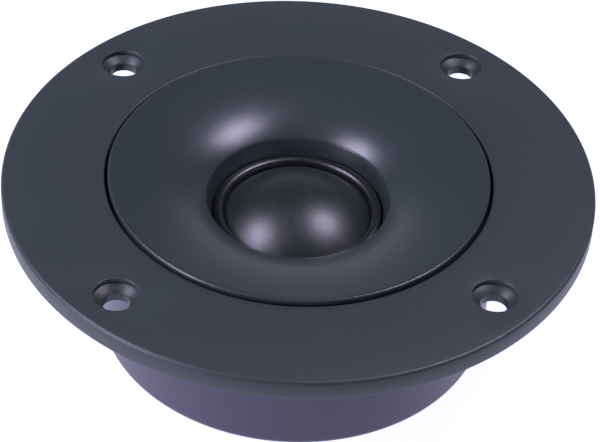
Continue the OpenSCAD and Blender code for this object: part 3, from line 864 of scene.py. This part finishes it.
# %% Build the motor
VENT_R = 4.0
VENT_CHAMFER = 0.4
SPIGOT_STEP = 3.5
STEEL_EDGE = 0.25
FERRITE_CHAMFER = 0.5
GAP_CLEAR = 0.3
MAGNET_BORE_STEP = 2.25
CUP_SCREW_OUT = 0.3
M3_R = 1.5
THREAD_CHAMFER = 0.2
SCREW_GRIP = 3.4
THREE_ANGLES = (30, 150, 270)
pole_r, pole_low, pole_top = size_of("pole_piece")
plate_ro, top_plate_low, _ = size_of("top_plate")
cap_r, cap_low, cap_top = size_of("copper_cap")
magnet_ro, magnet_low, magnet_top = size_of("magnet_ring")
back_low, back_top = size_of("back_plate")[1:]
top_plate_bore = winding_r + GAP_CLEAR
magnet_bore = top_plate_bore + MAGNET_BORE_STEP
spigot_ro = pole_r - SPIGOT_STEP
cup_screw_circle = (pole_r + plate_ro) / 2 + CUP_SCREW_OUT


def build_plate(node, inner, low, high, drilled, lining, places):
    """A pressed ring, with its holes lined from the flats that they open in."""
    bm = turned(ring_section(inner, plate_ro, low, high))
    bevel_rings(bm, [(plate_ro, low), (plate_ro, high)], STEEL_EDGE, 2)
    drill(bm, [(z, inner, plate_ro) for z in drilled], [(lining, places)])
    finish_piece(bm, f"{node}_steel", node)


def build_magnet():
    """The ferrite ring, chamfered all round."""
    section = ring_section(magnet_bore, magnet_ro, magnet_low, magnet_top)
    bm = turned(section)
    bevel_rings(bm, section, FERRITE_CHAMFER, 1)
    finish_piece(bm, "magnet_ferrite", "magnet_ring", sharp=20)


def build_pole():
    """The vented pole, with the spigot that goes through the back plate, and its copper cap."""
    bm = turned([(VENT_R, pole_low), (spigot_ro, pole_low), (spigot_ro, back_top),
                 (pole_r, back_top), (pole_r, pole_top), (VENT_R, pole_top)])
    bevel_rings(bm, [(VENT_R, pole_low), (VENT_R, pole_top)], VENT_CHAMFER, 2)
    finish_piece(bm, "pole_steel", "pole_piece")
    wall, hole = cap_r - pole_r, VENT_R + VENT_CHAMFER
    section = ([(hole, pole_top), (pole_r, pole_top), (pole_r, cap_low), (cap_r, cap_low)]
               + arc((cap_r - wall, cap_top - wall), wall, 0, 90, 5) + [(hole, cap_top)])
    finish_piece(turned(section), "pole_cap", "copper_cap")


thread_end = back_low + SCREW_GRIP
build_plate("top_plate", top_plate_bore, top_plate_low, motor_top, (top_plate_low, motor_top),
            [(M3_R, motor_top), (M3_R, top_plate_low)],
            ring_places(motor_screw_circle, FOUR_CORNERS))
build_magnet()
build_plate("back_plate", spigot_ro, back_low, back_top, (back_low,),
            [(M3_R + THREAD_CHAMFER, back_low), (M3_R, back_low + THREAD_CHAMFER),
             (M3_R, thread_end), (0, thread_end)],
            ring_places(cup_screw_circle, THREE_ANGLES))
build_pole()

# %% [markdown]
# ## Soft parts
# Gaskets are die-cut foam, and a cut foam edge is slightly round. The felt pad under the dome
# and the plug in the vent soften the air spring, and a thick pad fills the space behind the
# motor.

# %% Build the soft parts
BOSS_CLEAR_R = 3.5
FOOT_INSET = 0.35
FELT_BORE_R = VENT_R + 0.6
FOAM_BORE_R = VENT_R + 1.5
PLUG_ROUND = 0.8


def soft_ring(node, name, inner, edge, holes=()):
    """A ring of foam or felt with rounded edges, which fills its node's box to a bore."""
    outer, low, high = size_of(node)
    corners = ring_section(inner, outer, low, high)
    bm = turned(corners)
    bevel_rings(bm, corners, edge)
    if holes:
        lining = [(BOSS_CLEAR_R, high), (BOSS_CLEAR_R, low)]
        drill(bm, [(low, inner, outer), (high, inner, outer)], [(lining, holes)])
    finish_piece(bm, name, node)


def build_soft_parts():
    """The four rings and the plug."""
    soft_ring("panel_gasket", "panel_seal", gasket_inner, edge=0.3)
    soft_ring("throat_gasket", "throat_seal", throat_r + FOOT_INSET, edge=0.12)
    soft_ring("dome_felt", "dome_pad", FELT_BORE_R, edge=0.35)
    soft_ring("chamber_foam", "chamber_pad", FOAM_BORE_R, edge=0.5,
              holes=ring_places(cup_screw_circle, THREE_ANGLES))
    plug_r, plug_low, plug_top = size_of("vent_wadding")
    corner_r = plug_r - PLUG_ROUND
    section = ([(0, plug_low)]
               + arc((corner_r, plug_low + PLUG_ROUND), PLUG_ROUND, -90, 0, 6)
               + arc((corner_r, plug_top - PLUG_ROUND), PLUG_ROUND, 0, 90, 6)
               + [(0, plug_top)])
    plug = finish_piece(
        turned(section, HOLE_STEPS * 2, closed=False), "vent_plug", "vent_wadding")


build_soft_parts()

# %% [markdown]
# ## Carrier ring
# The surround is glued to a moulded ring that drops into the faceplate's floor. Two fine
# grooves lead the coil's tails out to the solder tags.

# %% Build the carrier
CARRIER_CLEAR = 0.32
CARRIER_EDGE = 0.2
CARRIER_INNER = roll_r + ROLL_R + CARRIER_CLEAR
GROOVE_W = 0.3
GROOVE_DEPTH = 0.32
GROOVE_START = CARRIER_INNER - 2
TAG_RIVET_R = 0.45
tag_low, tag_high = box_of("solder_tag_positive")
tag_y = (tag_low[1] + tag_high[1]) / 2


def build_carrier():
    """The ring, with two grooves and two rivet holes cut in it."""
    bm = turned(ring_section(CARRIER_INNER, carrier_r, motor_top, carrier_top))
    bevel_rings(bm, [(carrier_r, carrier_top), (carrier_r, motor_top)], CARRIER_EDGE)
    cutters = [block((x - GROOVE_W / 2, GROOVE_START, carrier_top - GROOVE_DEPTH),
                     (x + GROOVE_W / 2, tag_low[1], carrier_top + 1)) for x in TERMINALS]
    cutters += [turned(ring_section(0, TAG_RIVET_R, motor_top - 1, 0), SMALL_STEPS,
                       closed=False, centre=(x, tag_y)) for x in TERMINALS]
    finish_piece(cut(bm, cutters), "surround_ring", "surround_carrier")


build_carrier()

# %% [markdown]
# ## Screws
# The motor and the cup are held by pan-head screws with a cross recess. The head is turned
# open at the top, and its flat is filled in around a cross, whose walls narrow downwards as the
# punch that makes them does. Fine ridges stand for the thread.

# %% Build the screws
HEAD_R = 2.75
HEAD_ROUND = 0.85
CROSS_REACH = 1.45
CROSS_HALF = 0.32
CROSS_TAPER = 0.6
THREAD_PITCH = 0.5
THREAD_DEPTH = 0.27
THREAD_START = 0.6
TIP_LENGTH = 0.2
TIP_INSET = 0.5
# node, piece, circle, angles, way up, head height and depth of the cross
SCREWS = (
    ("motor_screws", "motor_screw_set", motor_screw_circle, FOUR_CORNERS, 1, 2.0, 1.1),
    ("cup_screws", "cup_screw_set", cup_screw_circle, THREE_ANGLES, -1, 0.9, 0.6),
)


def cross_points(centre, z, shrink):
    """A cross about a centre, made smaller by a share."""
    points = []
    for quarter in range(4):
        turn = Matrix.Rotation(math.radians(90 * quarter), 2)
        for x, y in ((CROSS_REACH, -CROSS_HALF), (CROSS_REACH, CROSS_HALF),
                     (CROSS_HALF, CROSS_HALF)):
            px, py = turn @ Vector((x * shrink, y * shrink))
            points.append((centre[0] + px, centre[1] + py, z))
    return points


def add_screw(bm, place, seat, up, head_h, length, recess):
    """A screw whose head stands on a seat and points up (1) or down (-1)."""
    rise = min(HEAD_ROUND, head_h - 0.1)
    top, tip = seat + up * head_h, seat - up * length
    flat_r, core_r = HEAD_R - HEAD_ROUND, M3_R - THREAD_DEPTH
    profile = [(flat_r + HEAD_ROUND * math.sin(a), top - up * rise * (1 - math.cos(a)))
               for a in (math.radians(90 * i / 8) for i in range(9))]
    profile += [(HEAD_R, seat), (M3_R, seat)]
    for i in range(int((length - 1) / THREAD_PITCH)):
        z = seat - up * (THREAD_START + i * THREAD_PITCH)
        profile += [(M3_R, z), (core_r, z - up * THREAD_PITCH / 2)]
    profile += [(core_r, tip + up * TIP_LENGTH), (M3_R - TIP_INSET, tip), (0, tip)]
    turned(profile, HOLE_STEPS, closed=False, bm=bm, centre=place)
    outline = [bm.verts.new(p) for p in cross_points(place, top, 1)]
    bottom = [bm.verts.new(p) for p in cross_points(place, top - up * recess, CROSS_TAPER)]
    for i in range(len(outline)):
        j = (i + 1) % len(outline)
        bm.faces.new((outline[i], outline[j], bottom[j], bottom[i]))
    bm.faces.new(bottom)
    fill_flat(bm, top)


for node, name, circle, angles, up, head_h, recess in SCREWS:
    _, low, high = size_of(node)
    seat = high - head_h if up > 0 else low + head_h
    bm = bmesh.new()
    for place in ring_places(circle, angles):
        add_screw(bm, place, seat, up, head_h, high - low - head_h, recess)
    finish_piece(bm, name, node)

# %% [markdown]
# ## The rear cup
# The cup closes the back and sits flush against the faceplate. Its wall tapers a little so that
# it leaves its mould, and its back edge is rounded. Three bosses inside reach the motor, their
# screw heads are sunk in the back, and a flat on one side takes the terminal board.

# %% Build the rear cup
CUP_WALL = 2.0
CUP_FLOOR = 2.0
CUP_TAPER = 0.5
CUP_EDGE_R = 1.5
CUP_INSIDE_R = 0.8
CUP_LIP = 0.15
FLAT_START = 0.01
BOSS_R = 3.2
BOSS_EDGE = 0.2
HEAD_SINK = 1.0
HEAD_CLEAR = 0.15
BOARD_SLACK = 0.15
BOARD_RIVET_R = 0.5
BOARD_RIVET_INSET = 1.3
PAD_T = 1.5
WINDOW_MARGIN_W = 5.0
WINDOW_MARGIN_H = 3.5
cup_inner = cup_r - CUP_WALL
cup_floor = cup_back + CUP_FLOOR
board_low, board_high = box_of("terminal_board")
board_w, board_t, board_h = [h - l for l, h in zip(board_low, board_high)]
board_z = (board_low[2] + board_high[2]) / 2
board_rivet_x = board_w / 2 - BOARD_RIVET_INSET
slot_half_w, slot_half_h = board_w / 2 + BOARD_SLACK, board_h / 2 + BOARD_SLACK
pad_y = board_low[1] - PAD_T


def lifted(bm, faces, height):
    """Extrudes flat faces into a solid of the given height."""
    grown = bmesh.ops.extrude_face_region(bm, geom=faces, use_keep_orig=True)["geom"]
    bmesh.ops.translate(
        bm, vec=(0, 0, height), verts=[v for v in grown if isinstance(v, bmesh.types.BMVert)])
    return bm


def board_pad():
    """The block inside the wall that carries the board, limited to the inside of the wall."""
    half, reach = slot_half_w + 1, cup_inner + CUP_WALL / 2
    low, high = board_z - slot_half_h - 1, board_z + slot_half_h + 1
    start = math.degrees(math.acos(half / reach))
    outline = arc((0, 0), reach, start, 180 - start, 24) + [(-half, pad_y), (half, pad_y)]
    bm = bmesh.new()
    face = bm.faces.new([bm.verts.new((x, y, low)) for x, y in outline])
    return lifted(bm, [face], high - low)


def rod_along_y(x, z, radius, low, high):
    """A cylinder along y, for cutting a hole."""
    bm = turned(ring_section(0, radius, low, high), SMALL_STEPS, closed=False)
    bmesh.ops.rotate(bm, verts=bm.verts, matrix=Matrix.Rotation(math.radians(-90), 3, "X"))
    bmesh.ops.translate(bm, verts=bm.verts, vec=(x, 0, z))
    return bm


def build_rear_cup():
    """The cup, turned and drilled, with the board's pad joined on and its slot cut."""
    back_r, inside_r = cup_r - CUP_TAPER, cup_inner - CUP_TAPER
    section = (
        [(cup_r - CUP_LIP, 0), (cup_r, -CUP_LIP)]
        + arc((back_r - CUP_EDGE_R, cup_back + CUP_EDGE_R), CUP_EDGE_R, 0, -90, 10)
        + [(back_r - CUP_EDGE_R - FLAT_START, cup_back), (0, cup_back)])
    bm = turned(section, FINE_STEPS, closed=False)
    floor_r = inside_r - CUP_INSIDE_R
    inside = ([(0, cup_floor), (floor_r - FLAT_START, cup_floor)]
              + arc((floor_r, cup_floor + CUP_INSIDE_R), CUP_INSIDE_R, -90, 0, 4)
              + [(cup_inner, 0), (cup_r - CUP_LIP, 0)])
    turned(inside, FINE_STEPS, closed=False, bm=bm)
    head_r, head_z = HEAD_R + HEAD_CLEAR, cup_back + HEAD_SINK
    sunk = [(head_r + CUP_LIP, cup_back), (head_r, cup_back + CUP_LIP), (head_r, head_z),
            (M3_FREE_R, head_z), (M3_FREE_R, back_low),
            (BOSS_R - BOSS_EDGE, back_low), (BOSS_R, back_low - BOSS_EDGE), (BOSS_R, cup_floor)]
    drill(bm, [(cup_back, -1, back_r - CUP_EDGE_R), (cup_floor, -1, floor_r - FLAT_START)],
          [(sunk, ring_places(cup_screw_circle, THREE_ANGLES))])
    bm = cut(bm, [board_pad()], "UNION")
    window_w, window_h = (board_w - WINDOW_MARGIN_W) / 2, (board_h - WINDOW_MARGIN_H) / 2
    slot = block((-slot_half_w, board_low[1], board_z - slot_half_h),
                 (slot_half_w, cup_r + 1, board_z + slot_half_h))
    window = block((-window_w, pad_y - 1, board_z - window_h),
                   (window_w, board_low[1] + 1, board_z + window_h))
    holes = [rod_along_y(x, board_z, BOARD_RIVET_R, pad_y - 1, board_low[1] + 1)
             for x in (-board_rivet_x, board_rivet_x)]
    finish_piece(cut(bm, [slot, window] + holes), "rear_cup_moulding", "rear_cup")


build_rear_cup()

# %% [markdown]
# ## Sheet parts
# The board, the solder tags and the terminal blades are all punched from sheet. Each is drawn
# flat with its holes, filled, thickened, and given the slightly rounded edge of a punched part.
# A blade is then bent: its length is wrapped along a path of straights and small arcs.

# %% Punched sheet helpers
PUNCH_ROUND = 0.06
PUNCHED_CORNER = 1.2


def ring_loop(centre, radius):
    """A round hole's outline."""
    return arc(centre, radius, 0, 360, SMALL_STEPS)[:-1]


def rounded_box(width, height, radius, centre=(0, 0)):
    """The outline of a rectangle with rounded corners."""
    outline = []
    for sx, sy, start in ((1, 1, 0), (-1, 1, 90), (-1, -1, 180), (1, -1, 270)):
        corner = (centre[0] + sx * (width / 2 - radius), centre[1] + sy * (height / 2 - radius))
        outline += arc(corner, radius, start, start + 90, 4)
    return outline


def fill_loops(bm, loops):
    """Fills the flat shape between closed loops."""
    edges = []
    for loop in loops:
        verts = [bm.verts.new((x, y, 0)) for x, y in loop]
        edges += [bm.edges.new(pair) for pair in zip(verts, verts[1:] + verts[:1])]
    fill_between(bm, edges)
    return bm


def punched(bm, thickness):
    """Thickens a flat shape and rounds its edges."""
    bmesh.ops.remove_doubles(bm, verts=bm.verts, dist=TINY)
    lifted(bm, bm.faces[:], thickness)
    bmesh.ops.recalc_face_normals(bm, faces=bm.faces)
    corners = [e for e in bm.edges
               if len(e.link_faces) == 2 and e.calc_face_angle() > PUNCHED_CORNER
               and abs(e.verts[0].co.z - e.verts[1].co.z) < TINY]
    bevel_edges(bm, corners, PUNCH_ROUND, 2)
    return bm


def stand_up(bm, x, y, z):
    """Turns a flat sheet to face along y, with its own y pointing up."""
    bmesh.ops.transform(bm, verts=bm.verts, matrix=Matrix((
        (1, 0, 0, x), (0, 0, 1, y), (0, 1, 0, z), (0, 0, 0, 1))))
    return bm


# %% Build the board and the tags
RIVET_R = 0.8
BOARD_CORNER_R = 0.5
TAG_W = 3.0
TAG_CORNER_R = 0.35


def build_sheets():
    """The board with its four holes, and a tag at each terminal."""
    holes = [ring_loop((x, 0), radius)
             for reach, radius in ((TERMINAL_X, RIVET_R), (board_rivet_x, BOARD_RIVET_R))
             for x in (-reach, reach)]
    outline = rounded_box(board_w, board_h, BOARD_CORNER_R)
    board = punched(fill_loops(bmesh.new(), [outline] + holes), board_t)
    finish_piece(stand_up(board, 0, board_low[1], board_z), "board_sheet", "terminal_board")
    for x, pole in POLES:
        outline = rounded_box(TAG_W, tag_high[1] - tag_low[1], TAG_CORNER_R, (x, tag_y))
        bm = punched(fill_loops(bmesh.new(), [outline, ring_loop((x, tag_y), TAG_RIVET_R)]),
                     tag_high[2] - tag_low[2])
        bmesh.ops.translate(bm, verts=bm.verts, vec=(0, 0, carrier_top))
        finish_piece(bm, f"tag_sheet_{pole}", f"solder_tag_{pole}")


build_sheets()

# %% Build the blades
BLADE_T = 0.5
BEND_R = 0.6
BLADE_HOLE_R = 0.6
BLADE_HOLE_UP = 3.0
TIP_BEVEL = 0.8
FOOT_H = 4.5
FOOT_BEVEL = 0.2
BEND_STEPS = 8


def bend_path(start, legs):
    """Maps a length along a bent strip, and an offset, to (y, z). Legs are (heading, length)."""
    def walk(part, s):
        """Goes s along a straight, or round a bend, and gives the point and the heading."""
        _, length, (y, z), a, turn = part
        if not turn:
            return (y + s * math.cos(a), z + s * math.sin(a)), a
        b, radius = a + turn * s / length, math.copysign(BEND_R, turn)
        return (y + radius * (math.sin(b) - math.sin(a)),
                z - radius * (math.cos(b) - math.cos(a))), b

    parts, at = [], 0.0
    headings = [math.radians(heading) for heading, _ in legs]
    for (_, length), a, after in zip(legs, headings, headings[1:] + [None]):
        turns = [(0.0, length)] if after is None else [
            (0.0, length), (after - a, abs(after - a) * BEND_R)]
        for turn, run in turns:
            parts.append((at, run, start, a, turn))
            start, at = walk(parts[-1], run)[0], at + run

    def place(s, offset):
        part = next((p for p in parts if s <= p[0] + p[1]), parts[-1])
        (y, z), a = walk(part, s - part[0])
        return y - offset * math.sin(a), z + offset * math.cos(a)

    return place, [(p[0], p[0] + p[1]) for p in parts if p[4]], at


def build_blade(x, node):
    """A blade, drawn flat as foot, bends and tip, then wrapped along its path."""
    low, high = box_of(node)
    half = (high[0] - low[0]) / 2
    drop = board_z - FOOT_H / 2 - low[2]
    legs = [(-90, FOOT_H + BLADE_T / 2 - BEND_R),
            (0, high[1] - low[1] - BLADE_T - 2 * BEND_R),
            (-90, drop - BLADE_T / 2 - BEND_R)]
    place, bends, total = bend_path((low[1] + BLADE_T / 2, board_z + FOOT_H / 2), legs)
    rows = [a + (b - a) * i / BEND_STEPS for a, b in bends for i in range(BEND_STEPS + 1)]
    bm = bmesh.new()
    pairs = [(bm.verts.new((-half, s, 0)), bm.verts.new((half, s, 0))) for s in rows]
    for (a, b), (c, d) in zip(pairs, pairs[1:]):
        bm.faces.new((a, b, d, c))
    foot_end, blade_start = rows[0], rows[-1]
    inset, tip = half - FOOT_BEVEL, half - TIP_BEVEL / 2
    fill_loops(bm, [[(-half, FOOT_BEVEL), (-inset, 0), (inset, 0), (half, FOOT_BEVEL),
                     (half, foot_end), (-half, foot_end)],
                    ring_loop((0, FOOT_H / 2), RIVET_R)])
    fill_loops(bm, [[(half, blade_start), (half, total - TIP_BEVEL), (tip, total),
                     (-tip, total), (-half, total - TIP_BEVEL), (-half, blade_start)],
                    ring_loop((0, total - BLADE_HOLE_UP), BLADE_HOLE_R)])
    punched(bm, BLADE_T)
    for vert in bm.verts:
        y, z = place(vert.co.y, vert.co.z - BLADE_T / 2)
        vert.co = (x + vert.co.x, y, z)
    finish_piece(bm, node.replace("terminal", "blade"), node)


for x, pole in POLES:
    build_blade(x, f"terminal_{pole}")

# %% [markdown]
# ## Rivets
# Small tubular rivets hold the blades, the board and the solder tags. A set head is a low
# dome with a dimple, where the tool rolled it over.

# %% Build the rivets
# the head's sizes as shares of the rivet's radius, of the bore and of the head's height
BORE_SHARE = 0.6
PIT_SHARE = 0.8
PIT_H = 0.45
MOUTH_H = 0.9
ROLLED_W = 0.12
# node, piece, reach to each side, radius, head's radius and height
PANEL_RIVETS = (
    ("terminal_rivets", "blade_rivets", TERMINAL_X, RIVET_R, 1.4, 0.4),
    ("board_rivets", "edge_rivets", board_rivet_x, BOARD_RIVET_R, 0.9, 0.3),
)
TAG_HEAD_R = 0.8
TAG_HEAD_H = 0.25


def rivet_profile(radius, low, high, head_r, head_low, head_high):
    """A shank from low to high, with a head of the given height below and above."""
    def head(z, height):
        hole = radius * BORE_SHARE
        crest = hole + ROLLED_W
        points = [(0, z + height * PIT_H), (hole * PIT_SHARE, z + height * PIT_H),
                  (hole, z + height * MOUTH_H), (crest, z + height)]
        return points + [(crest + (head_r - crest) * math.sin(a), z + height * math.cos(a))
                         for a in (math.radians(15 * i) for i in range(1, 7))]

    lower = head(low, -head_low) if head_low else [(0, low)]
    return lower + [(radius, low), (radius, high)] + head(high, head_high)[::-1]


def build_rivets(node, name, places, profile, on_board=True):
    """One piece with the same rivet at each place, turned to face along y on the board."""
    bm = bmesh.new()
    for place in places:
        turned(profile, HOLE_STEPS, closed=False, bm=bm, centre=place)
    if on_board:
        stand_up(bm, 0, 0, board_z)
    finish_piece(bm, name, node)


for node, name, reach, radius, head_r, head_h in PANEL_RIVETS:
    low, high = [corner[1] for corner in box_of(node)]
    build_rivets(node, name, [(-reach, 0), (reach, 0)], rivet_profile(
        radius, low + head_h, high - head_h, head_r, head_h, head_h))
_, low, high = size_of("tag_rivets")
build_rivets("tag_rivets", "small_tag_rivets", [(x, tag_y) for x in TERMINALS], rivet_profile(
    TAG_RIVET_R, low, high - TAG_HEAD_H, TAG_HEAD_R, 0, TAG_HEAD_H), on_board=False)

# %% [markdown]
# ## Wires
# The coil's two fine tails cross from the moving coil to the solder tags, and insulated leads
# go on from the tags, through the floor and down beside the magnet to the board. Each follows
# its path with rounded corners.

# %% Build the wires
TAIL_R = 0.1
LEAD_R = 0.45
CORNER_SHARES = (0, 0.2, 0.4, 0.6, 0.8, 1)
LEAD_BEND = 0.9
IN_GROOVE = 0.18
ON_TAG = 0.15


def tube(x, path, radius, sides):
    """A round wire along (y, z) points in the plane x, with its corners rounded."""
    points = [path[0]]
    for before, here, after in zip(path, path[1:], path[2:]):
        a = [(p + q) / 2 for p, q in zip(before, here)]
        b = [(p + q) / 2 for p, q in zip(here, after)]
        for t in CORNER_SHARES:
            points.append(tuple((1 - t) ** 2 * p + 2 * t * (1 - t) * q + t * t * r
                                for p, q, r in zip(a, here, b)))
    points = [p for i, p in enumerate(points + [path[-1]]) if not i or p != points[i - 1]]
    bm = bmesh.new()
    rings, across = [], Vector((1, 0, 0))
    angles = [math.tau * k / sides for k in range(sides)]
    for (y0, z0), (y, z), (y1, z1) in zip(points[:1] + points, points, points[1:] + points[-1:]):
        side = Vector((0, y1 - y0, z1 - z0)).normalized().cross(across)
        rings.append([bm.verts.new(Vector((x, y, z)) + radius * (
            math.cos(a) * across + math.sin(a) * side)) for a in angles])
    for one, two in zip(rings, rings[1:]):
        for k in range(sides):
            n = (k + 1) % sides
            bm.faces.new((one[k], one[n], two[n], two[k]))
    ends = [bm.faces.new(rings[0]), bm.faces.new(rings[-1])]
    bevel_edges(bm, list({e for face in ends for e in face.edges}), radius * 0.4, 2)
    return bm


def build_wires():
    """A tail and a lead at each terminal, on paths of (y, z) from the coil and from the tag."""
    tail_low = box_of("coil_tail_positive")[0]
    start_y, entry_y = tail_low[1] + TAIL_R, y_at(CARRIER_INNER)
    groove_z, tag_top = carrier_top - IN_GROOVE, carrier_top + ON_TAG
    tag_in, tag_out = tag_low[1], tag_high[1]
    tail_path = [
        (start_y, tail_low[2]), (start_y + 0.02, motor_top + 0.05),
        (start_y + 0.3, groove_z - 0.25), (start_y + 0.8, groove_z - 0.06), (entry_y, groove_z),
        (tag_in - 0.6, groove_z), (tag_in - 0.35, groove_z + 0.2),
        (tag_in - 0.15, tag_top), (tag_in, tag_top)]
    lead_top = box_of("lead_positive")[1][2] - LEAD_R
    run_z = floor_top + LEAD_R + 0.1
    hole_y, end_y = y_at(floor_hole_r), box_of("terminal_rivets")[0][1] - LEAD_R
    lead_path = [
        (tag_out - 0.6, lead_top), (tag_out - 0.1, lead_top),
        (hole_y + 0.6, (lead_top + run_z) / 2), (hole_y + 1.6, run_z), (lead_y - LEAD_BEND, run_z),
        (lead_y, run_z), (lead_y, run_z - LEAD_BEND), (lead_y, board_z + 1.6),
        ((lead_y + end_y) / 2, board_z + 0.9), (end_y, board_z + 0.4), (end_y, board_z - 0.8)]
    for x, pole in POLES:
        finish_piece(tube(x, lead_path, LEAD_R, 16), f"wire_lead_{pole}", f"lead_{pole}")
        tail = finish_piece(tube(x, tail_path, TAIL_R, 10), f"wire_tail_{pole}",
                            f"coil_tail_{pole}", None)
        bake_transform(tail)


build_wires()
